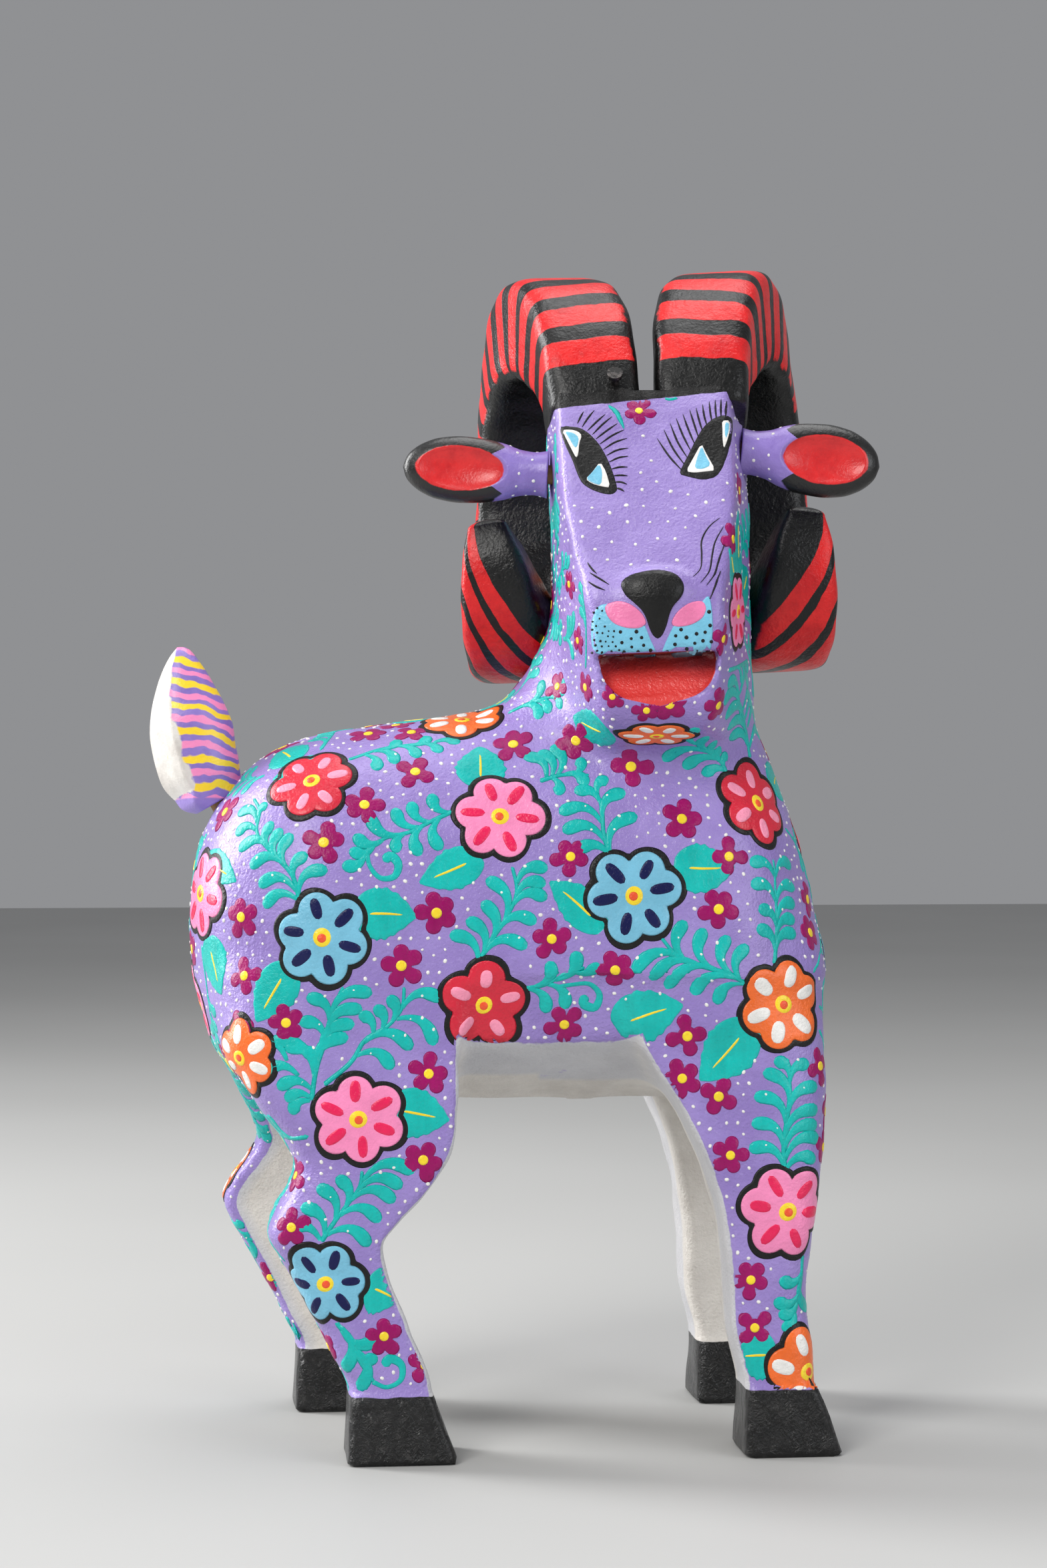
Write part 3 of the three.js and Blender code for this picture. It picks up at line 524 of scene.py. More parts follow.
def body_material():
    m = Mat("body_paint")
    var = m.ramp(m.noise(60, 4, 0.6), 0.35, 0.65)
    base = m.mix(var, srgb(141, 119, 189), srgb(157, 136, 205))
    fleck = m.ramp(m.noise(900, 2, 0.6), 0.62, 0.75)
    base = m.mix(m.math("MULTIPLY", fleck, 0.25), base, srgb(178, 160, 222))
    # white inner legs and belly with knife marks and grime
    wob = m.math("MULTIPLY", m.math("SUBTRACT", m.noise(260, 3, 0.6), 0.5), 1.1)
    wf = m.ramp(m.math("ADD", m.attr("a_white"), wob), -0.10, 0.10)
    cut = m.noise(110, 3, 0.55, 0.4, m.stretch(1, 1, 0.22, (0.5, 0.3, 0)))
    grime = m.ramp(m.noise(70, 5, 0.62), 0.42, 0.72)
    wcol = m.mix(m.math("MULTIPLY", grime, 0.5), srgb(222, 217, 210), srgb(176, 168, 160))
    wcol = m.mix(m.math("MULTIPLY", m.ramp(cut, 0.5, 0.75), 0.35), wcol, srgb(196, 190, 186))
    # bluish painted shade along the edge of the white, where the cut faces beside the paint lie in shadow
    painted_edge_shade = m.math("MULTIPLY", m.ramp(m.attr("a_white"), 0.0, 3.4, 1.0, 0.0), 0.5)
    wcol = m.mix(painted_edge_shade, wcol, srgb(176, 184, 204))
    c = m.mix(wf, base, wcol)
    # black hooves; the lighter scuffs are partly wear and partly painted highlight
    hw = m.math("MULTIPLY", m.math("SUBTRACT", m.noise(300, 2, 0.5), 0.5), 0.7)
    hf = m.ramp(m.math("ADD", m.attr("a_hoof"), hw), -0.08, 0.08)
    scuff_and_glint = m.ramp(m.noise(420, 4, 0.7, 0.6), 0.55, 0.75)
    hcol = m.mix(m.math("MULTIPLY", scuff_and_glint, 0.34), srgb(6, 6, 6), srgb(88, 86, 84))
    c = m.mix(hf, c, hcol)
    # black crown under the horns, lightened a little by the same scuffs and painted highlights
    cf = m.ramp(m.math("ADD", m.attr("a_crown"), hw), -0.08, 0.08)
    c = m.mix(cf, c, m.mix(m.math("MULTIPLY", scuff_and_glint, 0.2), srgb(12, 11, 11), srgb(60, 56, 56)))
    # red mouth, with painted shade darkening it in the fold under the upper lip
    mf = m.ramp(m.attr("a_mouth"), -0.05, 0.05)
    mcol = m.mix(m.ramp(m.attr("a_fold"), 0.0, 4.2), srgb(96, 10, 14), srgb(226, 62, 58))
    c = m.mix(mf, c, mcol)
    r0 = m.ramp(m.noise(700, 2, 0.5), 0.3, 0.7, 0.28, 0.40)
    r = m.mix(wf, r0, (0.62, 0.62, 0.62, 1))
    r = m.mix(hf, r, (0.24, 0.24, 0.24, 1))
    n1 = grain(m, 1.0)
    kb = m.node("ShaderNodeBump")
    m.link(m.math("MULTIPLY", wf, 0.55), kb.inputs["Strength"])
    kb.inputs["Distance"].default_value = 0.0012
    m.link(cut, kb.inputs["Height"])
    m.link(n1, kb.inputs["Normal"])
    hb = m.node("ShaderNodeBump")
    m.link(m.math("MULTIPLY", m.math("ADD", hf, cf, clamp=True), 0.6), hb.inputs["Strength"])
    hb.inputs["Distance"].default_value = 0.0034
    m.link(m.noise(330, 5, 0.7, 0.8, m.stretch(1, 1, 0.5)), hb.inputs["Height"])
    m.link(kb.outputs[0], hb.inputs["Normal"])
    dark = m.math("MAXIMUM", hf, cf)
    out = m.done(c, r, hb.outputs[0], 0.22, 0.24)
    dull = m.math("SUBTRACT", dark, m.math("MULTIPLY", hf, 0.7), clamp=True)
    m.put(m.b.inputs["Specular IOR Level"], m.math("SUBTRACT", 0.5, m.math("MULTIPLY", dull, 0.28)))
    m.put(m.b.inputs["Coat Weight"], m.math("SUBTRACT", 0.26, m.math("MULTIPLY", dull, 0.20)))
    return out


def horn_material():
    m = Mat("horn_paint")
    wob = m.math("MULTIPLY", m.math("SUBTRACT", m.noise(170, 3, 0.55), 0.5), 0.16)
    ph = m.math("FRACT", m.math("ADD", m.attr("h_t"), wob))
    # wider red bands in the lower curl, and a black end
    wide = m.math("MULTIPLY", m.ramp(m.attr("h_t"), 12.5, 13.5), 0.11)
    red = m.math("MULTIPLY", m.ramp(ph, 0.0, 0.02), m.ramp(m.math("SUBTRACT", ph, wide), 0.57, 0.59, 1.0, 0.0))
    red = m.math("MULTIPLY", red, m.ramp(m.attr("h_t"), 16.74, 16.78, 1.0, 0.0))
    wob2 = m.math("MULTIPLY", m.math("SUBTRACT", m.noise(240, 3, 0.6), 0.5), 0.30)
    side = m.ramp(m.math("ADD", m.attr("h_side"), wob2), -0.03, 0.03)
    start = m.ramp(m.attr("h_t"), -0.02, 0.0)
    f = m.math("MULTIPLY", m.math("MULTIPLY", red, side), start)
    streak = m.ramp(m.noise(520, 4, 0.7, 0.2, m.stretch(1, 0.25, 1)), 0.48, 0.78)
    rcol = m.mix(m.ramp(m.noise(120, 3, 0.6), 0.35, 0.65), srgb(206, 18, 26), srgb(232, 34, 34))
    rcol = m.mix(m.math("MULTIPLY", streak, 0.28), rcol, srgb(120, 8, 12))
    dust = m.ramp(m.noise(950, 3, 0.7), 0.64, 0.78)
    kcol = m.mix(m.math("MULTIPLY", dust, 0.22), srgb(8, 8, 8), srgb(80, 76, 76))
    c = m.mix(f, kcol, rcol)
    r = m.ramp(m.noise(600, 3, 0.6), 0.3, 0.7, 0.30, 0.46)
    n1 = grain(m, 0.7)
    n2 = m.bump(m.math("MULTIPLY", f, 1.0), 0.5, 0.00008, n1)
    n3 = m.bump(m.noise(180, 3, 0.6, 0.5, m.stretch(1, 0.4, 1)), 0.30, 0.0009, n2)
    return m.done(c, r, n3, 0.10, 0.2, 0.34)


def ear_material():
    m = Mat("ear_paint")
    wob = m.math("MULTIPLY", m.math("SUBTRACT", m.noise(330, 3, 0.6), 0.5), 0.10)
    rr = m.math("ADD", m.attr("e_cup"), wob)
    ro = m.math("ADD", m.attr("e_rim"), wob)
    base = m.mix(m.ramp(m.noise(150, 3, 0.6), 0.35, 0.65), srgb(134, 111, 186), srgb(148, 126, 202))
    c = m.mix(m.ramp(ro, 0.98, 1.01, 1.0, 0.0), base, srgb(9, 9, 9))
    redc = m.mix(m.ramp(m.noise(260, 4, 0.65), 0.4, 0.7), srgb(222, 34, 36), srgb(196, 18, 26))
    c = m.mix(m.ramp(rr, 0.90, 0.93, 1.0, 0.0), c, redc)
    r = m.ramp(m.noise(600, 3, 0.6), 0.3, 0.7, 0.32, 0.45)
    return m.done(c, r, grain(m, 0.4), 0.25, 0.22)


def tail_material():
    m = Mat("tail_paint")
    s, a, z = m.attr("t_s"), m.attr("t_a"), m.attr("t_x")
    wob = m.math("MULTIPLY", m.math("SUBTRACT", m.noise(170, 2, 0.5), 0.5), 4.4)
    wav = m.math("MULTIPLY", m.math("SINE", m.math("MULTIPLY", a, 4.2)), 0.30)
    q = m.math("ADD", m.math("ADD", m.math("ADD", s, wob), wav), 4.5)
    ph = m.math("FRACT", m.math("DIVIDE", q, 7.2))
    yel = m.math("MULTIPLY", m.ramp(ph, 0.02, 0.06), m.ramp(ph, 0.30, 0.34, 1.0, 0.0))
    pnk = m.math("MULTIPLY", m.ramp(ph, 0.52, 0.56), m.ramp(ph, 0.78, 0.82, 1.0, 0.0))
    base = m.mix(m.ramp(m.noise(150, 3, 0.6), 0.35, 0.65), srgb(128, 105, 184), srgb(146, 124, 200))
    low = m.ramp(s, 0.4, 1.0)
    c = m.mix(m.math("MULTIPLY", yel, low), base, srgb(250, 214, 40))
    c = m.mix(m.math("MULTIPLY", pnk, low), c, srgb(244, 140, 190))
    wf = m.ramp(m.math("ADD", z, m.math("MULTIPLY", m.math("SUBTRACT", m.noise(200, 3, 0.6), 0.5), 0.35)), -0.02, 0.02)
    wcol = m.mix(m.ramp(m.noise(90, 4, 0.6), 0.4, 0.7), srgb(226, 222, 216), srgb(190, 184, 178))
    c = m.mix(wf, c, wcol)
    r = m.ramp(m.noise(600, 3, 0.6), 0.3, 0.7, 0.34, 0.48)
    n2 = m.bump(m.noise(120, 3, 0.55, 0.4, m.stretch(1, 1, 0.2)), 0.3, 0.0009, grain(m, 0.4))
    return m.done(c, r, n2, 0.2, 0.25)


# ------------------------------------------------------------- body attributes
ybRear = Curve([[0, 28], [55, 27.6], [64, 26], [74, 22], [84, 17], [96, 10], [110, 3], [118, -3]])
ybFront = Curve([[0, 28], [55, 27], [64, 25], [74, 20], [84, 11], [91, 1], [96, -4]])


def white_value(p):
    x, y, z = p[:, 0], p[:, 1], p[:, 2]
    ay = np.abs(y)
    shift = np.where(y > 0, farRear(z), 0.0)
    sf = np.where(y > 0, farFront(z), 0.0)
    yb = np.where(x < -10, ybRear(z), ybFront(z))
    inner = yb - ay
    arch = np.minimum(np.minimum(x - (rearFront(z) + shift) + 0.75, (frontBack(z) + sf) + 0.75 - x),
                      KEEL_Z + KEEL_SLOPE * ay + 0.45 - z)
    # the paint wraps round the outer edge of each leg
    wrap = np.where(x < -10, x - (rearBack(z) + shift) - 3.2, (frontFront(z) + sf) - 2.6 - x)
    wrap = wrap + 0.03 * np.clip(62 - z, 0, None)
    return np.maximum(np.minimum(inner, wrap), arch)


def body_attrs(p):
    u, v, w = body_to_head(p[:, 0], p[:, 1], p[:, 2])
    crown = np.where(p[:, 2] > 200, w - 235.3 - 0.06 * u, -9.0)
    inm = np.minimum(177.55 - w, mouthU(np.clip(w, 165, 177.4)) + 0.05 - np.abs(u))
    inm = np.where((v < -33) & (w > 164), inm, -9.0)
    # depth below the upper lip; it drives the painted shade in the mouth
    fold = 177.4 - w
    return {"a_white": white_value(p), "a_hoof": 14.9 - p[:, 2], "a_crown": crown, "a_mouth": inm, "a_fold": fold}


def rod_mesh(name, a, b, r, seg=40, chamfer=0.5):
    a, b = np.array(a, float), np.array(b, float)
    d = (b - a) / np.linalg.norm(b - a)
    t = np.cross(d, [0.3, 0.9, 0.2])
    t /= np.linalg.norm(t)
    s = np.cross(d, t)
    L = np.linalg.norm(b - a)
    prof = [(0, 0.001), (0, r - chamfer), (chamfer, r)]
    k = 14
    for i in range(1, k):
        q = chamfer + (L - 2 * chamfer) * i / k
        prof.append((q, r - (0.05 if i % 2 else 0.0)))
    prof += [(L - chamfer, r), (L, r - chamfer), (L, 0.001)]
    V, F = [], []
    for (h, rr) in prof:
        for j in range(seg):
            g = 2 * math.pi * j / seg
            V.append(a + d * h + t * rr * math.cos(g) + s * rr * math.sin(g))
    for i in range(len(prof) - 1):
        for j in range(seg):
            F.append((i * seg + j, i * seg + (j + 1) % seg, (i + 1) * seg + (j + 1) % seg, (i + 1) * seg + j))
    return make_mesh(name, to_row(np.array(V)), np.array(F))


def merge_close(ob, d=1e-6):
    bm = bmesh.new()
    bm.from_mesh(ob.data)
    bmesh.ops.remove_doubles(bm, verts=bm.verts, dist=d)
    bmesh.ops.recalc_face_normals(bm, faces=bm.faces)
    bm.to_mesh(ob.data)
    bm.free()
    ob.data.update()


def cutter(a, b, r0, r1=None, seg=48):
    """a closed rod in row metres, as an object for a boolean cut"""
    a, b = Vector(to_row(a)), Vector(to_row(b))
    r1 = r0 if r1 is None else r1
    bm = bmesh.new()
    bmesh.ops.create_cone(bm, cap_ends=True, segments=seg, radius1=r0 * 0.001, radius2=r1 * 0.001, depth=(b - a).length)
    q = (b - a).normalized().to_track_quat("Z", "Y")
    bmesh.ops.transform(bm, matrix=Matrix.Translation((a + b) / 2) @ q.to_matrix().to_4x4(), verts=bm.verts)
    me = bpy.data.meshes.new("cut")
    bm.to_mesh(me)
    bm.free()
    ob = bpy.data.objects.new("cut", me)
    bpy.context.scene.collection.objects.link(ob)
    return ob


def boolean_cut(ob, cutters):
    for c in cutters:
        md = ob.modifiers.new("b", "BOOLEAN")
        md.operation = "DIFFERENCE"
        md.solver = "EXACT"
        md.object = c
    dg = bpy.context.evaluated_depsgraph_get()
    me = bpy.data.meshes.new_from_object(ob.evaluated_get(dg))
    ob.modifiers.clear()
    old = ob.data
    ob.data = me
    bpy.data.meshes.remove(old)
    for c in cutters:
        m = c.data
        bpy.data.objects.remove(c)
        bpy.data.meshes.remove(m)


def coords(ob):
    n = len(ob.data.vertices)
    a = np.empty(n * 3, np.float32)
    ob.data.vertices.foreach_get("co", a)
    return a.reshape(-1, 3).astype(float)


def from_row(p):
    return np.asarray(p, float) * 1000 - np.array([OX, OY, 0])


def set_attr(ob, attrs):
    for a, vals in attrs.items():
        at = ob.data.attributes.get(a) or ob.data.attributes.new(a, "FLOAT", "POINT")
        at.data.foreach_set("value", np.asarray(vals, np.float32))


# ---------------------------------------------------------------- plug places
EARS = {}
for side, tag, w, ln, tilt, tall in ((-1, "right", 220.5, 33.0, 0.1, 1.0), (1, "left", 224.0, 32.0, -0.15, 1.1)):
    X = head_dir(side * math.cos(tilt), 0.02, math.sin(tilt))
    root = head_to_body(side * 22.0, -9.5, w)
    Y0 = head_dir(0, 1, 0)
    Z = np.cross(X, Y0)
    Z /= np.linalg.norm(Z)
    if Z[2] < 0:
        Z = -Z
    Y = np.cross(Z, X)
    Y /= np.linalg.norm(Y)
    if Y[1] < 0:
        Y = -Y
    EARS[tag] = dict(side=side, X=X, Y=Y, Z=Z, root=root, len=ln, tall=tall)
TAIL_ROOT = np.array([-81.6, 0, 145.2])
TA = np.array([-0.5, 0, math.cos(math.radians(30))])
TX = np.array([math.cos(math.radians(30)), 0, 0.5])

# ------------------------------------------------------------------- the body
STEP = 1.25
V, F = surface_net([-97.13, -60.07, -4.11], [68, 52, 250], STEP)
P, NRM = settle(V, 2)
# keep moved points near their cells, so that sharp folds stay clean
dv = P - V
ln = np.linalg.norm(dv, axis=1, keepdims=True)
P = V + dv * np.minimum(1, 0.8 * STEP / np.maximum(ln, 1e-6))
P[:, 2] = np.maximum(P[:, 2], 0.0)
body = make_mesh("carved_ram_block", to_row(P), F)
bm = bmesh.new()
bm.from_mesh(body.data)
bmesh.ops.recalc_face_normals(bm, faces=bm.faces)
bm.to_mesh(body.data)
bm.free()
cuts = []
for e in EARS.values():
    cuts.append(cutter(e["root"] - e["X"] * 0.3, e["root"] + e["X"] * 14, 6.4, 9.5))
    cuts.append(cutter(e["root"] - e["X"] * 12.3, e["root"] + e["X"] * 4, 2.5))
cuts.append(cutter(TAIL_ROOT - TA * 0.3, TAIL_ROOT + TA * 16, 7.4, 12))
cuts.append(cutter(TAIL_ROOT - TA * 13.3, TAIL_ROOT + TA * 4, 2.9))
boolean_cut(body, cuts)
body.data.polygons.foreach_set("use_smooth", np.ones(len(body.data.polygons), bool))
BP = from_row(coords(body))
set_attr(body, body_attrs(BP))
body.data.materials.clear()
body.data.materials.append(body_material())
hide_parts("carved_body")
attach(body, ROOT)

# ------------------------------------------------------------------- the horns
curlV = Curve([[20, 27], [180, 27], [270, 25], [340, 17.5]])
curlW = Curve([[20, 35.5], [90, 37], [200, 35.8], [270, 35.5], [340, 30]])
hornU = Curve([[20, 12.2], [45, 13.5], [70, 16.8], [90, 20.2], [120, 24.4], [180, 28.4], [270, 30.8], [340, 35.8]])
hornA = Curve([[20, 10.6], [70, 11.9], [120, 12.1], [180, 11.8], [270, 11], [305, 9.4], [328, 7], [340, 4.6]])
hornR = Curve([[20, 12], [90, 12], [180, 11.4], [270, 10.2], [300, 9], [322, 6.8], [340, 3.8]])


def horn_point(t):
    a = math.radians(t)
    return np.array([float(hornU(t)), 17 - float(curlV(t)) * math.cos(a), 220 + float(curlW(t)) * math.sin(a)])


def horn(side, name):
    nt, ns = 190, 72
    ts = np.linspace(20, 340, nt)
    rings, at_t, at_s = [], [], []
    phis = np.linspace(0, 2 * math.pi, ns, endpoint=False)
    n = 5.6
    L = np.sign(np.cos(phis)) * np.abs(np.cos(phis)) ** (2 / n)
    R = np.sign(np.sin(phis)) * np.abs(np.sin(phis)) ** (2 / n)

    def ring(t, shift, k):
        p = horn_point(t)
        T = horn_point(min(t + 0.5, 340)) - horn_point(max(t - 0.5, 20))
        T /= np.linalg.norm(T)
        c = np.array([0, p[1] - 17, p[2] - 220])
        er = c - T * c.dot(T)
        er /= np.linalg.norm(er)
        el = np.cross(T, er)
        el /= np.linalg.norm(el)
        if el[0] < 0:
            el = -el
        wide = 1.6 * max(0, min(1, (t - 180) / 80)) if side < 0 else 0
        q = p + T * shift
        # slight facets, as left by a knife
        f = 1 + 0.012 * np.sin(t * 0.13 + 2 * phis) + 0.008 * np.sin(t * 0.31 - 3 * phis + side)
        x = q[None, :] + el[None, :] * (L * (float(hornA(t)) * k) * f)[:, None] + er[None, :] * (R * (float(hornR(t)) * k) * f)[:, None]
        rings.append(head_to_body(side * (x[:, 0] + wide) + 1.2, x[:, 1], x[:, 2]))
        slant = (1.45 if side < 0 else 1.05) * max(0.0, min(1.0, (t - 195) / 105))
        far = max(0.0, t - 205)
        at_t.append((t - far + shift * 1.6 - 33) / 15 + far / 21.5 - slant * (L + 0.25 * np.maximum(L, 0) ** 2))
        at_s.append(np.minimum(L + 0.86, R + 0.78) * 1.0)
    ring(20, 0, 0.02)
    ring(20, 0, 0.5)
    ring(20, 0, 0.93)
    ring(20, 0.15, 0.975)
    for t in ts[1:]:
        ring(t, 0, 1)
    for k in range(1, 9):
        a = k / 8 * math.pi / 2
        ring(340, 1.9 * math.sin(a), max(math.cos(a), 0.02))
    V = np.concatenate(rings)
    m = len(rings)
    i, j = np.meshgrid(np.arange(m - 1), np.arange(ns), indexing="ij")
    a = i * ns + j
    b = i * ns + (j + 1) % ns
    Q = np.stack([a, b, b + ns, a + ns], -1).reshape(-1, 4)
    ob = make_mesh(name, to_row(V), Q, attrs={"h_t": np.concatenate(at_t), "h_side": np.concatenate(at_s)})
    merge_close(ob, 1e-7)
    return ob


HM = horn_material()
for side, tag in ((-1, "right"), (1, "left")):
    ob = horn(side, "horn_%s_painted" % tag)
    ob.data.materials.append(HM)
    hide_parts("horn_" + tag)
    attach(ob, ROOT)

# -------------------------------------------------------------------- the ears
earH = Curve([[0, 5.4], [3, 4.9], [6, 5.2], [10, 6.4], [15, 7.3], [20, 7.6], [25, 7.0], [28.5, 5.7], [31, 4.0], [32.4, 2.3], [33, 0.6]])
earD = Curve([[0, 5.4], [3, 4.8], [7, 4.4], [12, 4.6], [20, 4.6], [27, 4.0], [30.5, 2.9], [32.3, 1.7], [33, 0.5]])


def ear_surface(e, s, b, out=0.0):
    """a point of the ear's skin at s along it and b round it"""
    h = earH(s) * (1 + (e["tall"] - 1) * np.minimum(s / 12, 1))
    d = earD(s)
    cz, cy = np.cos(b) * h, np.sin(b) * d
    rho2 = ((s - 20) / 11.0) ** 2 + (cz / (5.6 * e["tall"])) ** 2
    dent = -5.1 + 3.4 * np.sqrt(np.clip(1 - rho2, 0, None))
    cy2 = np.where((cy < 0) & (rho2 < 1), np.maximum(cy, dent), cy)
    k = 1 + out / np.maximum(np.hypot(cz, cy), 1.0)
    p = (e["root"][None, :] + e["X"][None, :] * (s * e["len"] / 33)[:, None]
         + e["Z"][None, :] * (cz * k)[:, None] + e["Y"][None, :] * (cy2 * k)[:, None])
    return p, np.sqrt(rho2), cz, cy


def ear(tag):
    e = EARS[tag]
    ns, nr = 110, 96
    ss = np.linspace(0, 1, ns)
    ss = 33 * (1 - (1 - ss) ** 1.25)
    bs = np.linspace(0, 2 * math.pi, nr, endpoint=False)
    S, B = np.meshgrid(ss, bs, indexing="ij")
    s, b = S.ravel(), B.ravel()
    p, rho, cz, cy = ear_surface(e, s, b)
    rim = np.sqrt(((s - 21.5) / 13.8) ** 2 + (cz / (9.5 * e["tall"])) ** 2)
    front = cy < 0.6
    # the black rim stays open where the stalk joins the cup
    turn = np.arctan2(np.abs(cz) * 11 / (5.6 * e["tall"]), 20 - s)
    rim = rim + 3 * np.clip((0.80 - turn) / 0.3, 0, 1)
    cup = np.where(front, rho, 9)
    rim = np.where(front, rim, 9)
    V = [p]
    # close the ends
    V.append((e["root"])[None, :])
    V.append((e["root"] + e["X"] * (e["len"] + 0.15))[None, :])
    V = np.concatenate(V)
    i, j = np.meshgrid(np.arange(ns - 1), np.arange(nr), indexing="ij")
    a = (i * nr + j).ravel()
    c = (i * nr + (j + 1) % nr).ravel()
    F = [tuple(q) for q in np.stack([a, c, c + nr, a + nr], -1)]
    n0 = ns * nr
    for j in range(nr):
        F.append((n0, (j + 1) % nr, j))
        F.append((n0 + 1, (ns - 1) * nr + j, (ns - 1) * nr + (j + 1) % nr))
    ob = make_mesh("ear_%s_painted" % tag, to_row(V), F, attrs={
        "e_cup": np.concatenate([cup, [9, 9]]), "e_rim": np.concatenate([rim, [9, 0.5]])})
    bm = bmesh.new()
    bm.from_mesh(ob.data)
    bmesh.ops.recalc_face_normals(bm, faces=bm.faces)
    bm.to_mesh(ob.data)
    bm.free()
    hole = cutter(e["root"] - e["X"] * 2, e["root"] + e["X"] * 9.3, 2.5)
    boolean_cut(ob, [hole])
    ob.data.polygons.foreach_set("use_smooth", np.ones(len(ob.data.polygons), bool))
    return ob


EM = ear_material()
WOOD = wood("dowel_wood")
for tag in ("right", "left"):
    e = EARS[tag]
    ob = ear(tag)
    ob.data.materials.clear()
    ob.data.materials.append(EM)
    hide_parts("ear_" + tag)
    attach(ob, "ear_%s_leaf" % tag)
    d = rod_mesh("ear_dowel_%s_turned" % tag, e["root"] - e["X"] * 12, e["root"] + e["X"] * 9, 2.2)
    merge_close(d, 1e-5)
    d.data.materials.append(WOOD)
    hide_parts("ear_dowel_" + tag)
    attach(d, "ear_%s_plug" % tag)

# -------------------------------------------------------------------- the tail
tailC = Curve([[0, 0], [3, -1.0], [8, -0.9], [14, 0.6], [22, 2.6], [30, 6.0], [35, 9.0]])
TAIL_LEN = 35.0
tailD = Curve([[0, 6.2], [1.2, 7.2], [4, 8.6], [8, 10.0], [14, 10.8], [19, 10.3], [25, 8.5], [30, 5.9], [33, 3.7], [34.5, 1.9], [35, 0.8]])
tailY = Curve([[0, 6.2], [3, 6.6], [10, 7.5], [18, 7.5], [25, 6.0], [30, 4.4], [33, 2.8], [34.5, 1.6], [35, 0.7]])


def tail():
    ns, nr = 100, 80
    S, B = np.meshgrid(TAIL_LEN * (1 - (1 - np.linspace(0, 1, ns)) ** 1.25), np.linspace(0, 2 * math.pi, nr, endpoint=False), indexing="ij")
    s, b = S.ravel(), B.ravel()
    t = np.minimum(s / 5, 1)
    cx, cy = np.cos(b), np.sin(b)
    # the rear is carved flat, with a soft corner
    lim = -0.66 * t - (1 - t)
    dl = 0.40
    q, o = cx * math.cos(dl) + cy * math.sin(dl), -cx * math.sin(dl) + cy * math.cos(dl)
    q = -smin(-q, -lim, 0.10)
    cx, cy = q * math.cos(dl) - o * math.sin(dl), q * math.sin(dl) + o * math.cos(dl)
    p = (TAIL_ROOT[None, :] + TA[None, :] * s[:, None] + TX[None, :] * (tailC(s) + cx * tailD(s))[:, None]
         + np.array([0, 1.0, 0])[None, :] * (cy * tailY(s))[:, None])
    V = np.concatenate([p, TAIL_ROOT[None, :], (TAIL_ROOT + TA * 35.3 + TX * 9.1)[None, :]])
    i, j = np.meshgrid(np.arange(ns - 1), np.arange(nr), indexing="ij")
    a = (i * nr + j).ravel()
    c = (i * nr + (j + 1) % nr).ravel()
    F = [tuple(q) for q in np.stack([a, c, c + nr, a + nr], -1)]
    n0 = ns * nr
    for j in range(nr):
        F.append((n0, (j + 1) % nr, j))
        F.append((n0 + 1, (ns - 1) * nr + j, (ns - 1) * nr + (j + 1) % nr))
    white = -0.57 - q
    white = np.where(s < 6, white - (6 - s) * 0.12, white)
    xt = tailC(s) + cx * tailD(s)
    band = s + 0.70 * xt + 0.02 * xt * xt
    ob = make_mesh("tail_painted", to_row(V), F, attrs={
        "t_s": np.concatenate([band, [-6, 44]]), "t_a": np.concatenate([np.abs(np.where(b > math.pi, b - 2 * math.pi, b)), [0, 0]]),
        "t_x": np.concatenate([white, [-1, -1]])})
    bm = bmesh.new()
    bm.from_mesh(ob.data)
    bmesh.ops.recalc_face_normals(bm, faces=bm.faces)
    bm.to_mesh(ob.data)
    bm.free()
    boolean_cut(ob, [cutter(TAIL_ROOT - TA * 2, TAIL_ROOT + TA * 12.3, 2.9)])
    ob.data.polygons.foreach_set("use_smooth", np.ones(len(ob.data.polygons), bool))
    return ob


ob = tail()
ob.data.materials.clear()
ob.data.materials.append(tail_material())
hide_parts("tail")
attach(ob, "tail_leaf")
d = rod_mesh("tail_dowel_turned", TAIL_ROOT - TA * 13, TAIL_ROOT + TA * 12, 2.6)
merge_close(d, 1e-5)
d.data.materials.append(WOOD)
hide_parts("tail_dowel")
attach(d, "tail_plug")

# pegs and nail keep their CAD shape
for n, o in frame["nodes"].items():
    if n.startswith("horn_peg"):
        o.data.materials.clear()
        o.data.materials.append(WOOD)
    if n == "horn_nail":
        m = Mat("nail_black")
        f = m.ramp(m.noise(700, 3, 0.6), 0.45, 0.7)
        o.data.materials.clear()
        o.data.materials.append(m.done(m.mix(f, srgb(26, 24, 24), srgb(96, 90, 88)), 0.4, m.bump(f, 0.3, 0.0003), metal=0.5))

# ------------------------------------------------------------- brushed paint
# Every stroke is a thin raised chip of paint: it is drawn flat, in millimetres,
# laid on the block by walking along its skin, and closed below the skin.
CAM = np.array([-85.5, -704.4, 149.0])
FW = np.array([math.sin(math.radians(6)), math.cos(math.radians(6)), 0])
RT = np.array([math.cos(math.radians(6)), -math.sin(math.radians(6)), 0])
UPV = np.array([0.0, 0, 1])
FOC = 4570.0

bm = bmesh.new()
bm.from_mesh(body.data)
for v in bm.verts:
    v.co = Vector((v.co.x * 1000 - OX, v.co.y * 1000 - OY, v.co.z * 1000))
BODY_TREE = BVHTree.FromBMesh(bm)
bm.free()
HORN_TREES = []
for o in bpy.data.objects:
    if o.name.startswith("horn_") and o.name.endswith("_painted"):
        bm = bmesh.new()
        bm.from_mesh(o.data)
        for v in bm.verts:
            v.co = Vector((v.co.x * 1000 - OX, v.co.y * 1000 - OY, v.co.z * 1000))
        HORN_TREES.append(BVHTree.FromBMesh(bm))
        bm.free()


def cast(u, v):
    """the point of the block seen at drawing position (u, v)"""
    d = FW * FOC + RT * (u - 784) + UPV * (1174 - v)
    d /= np.linalg.norm(d)
    hit = BODY_TREE.ray_cast(Vector(CAM), Vector(d))
    if hit[0] is None:
        return None
    return np.array(hit[0])


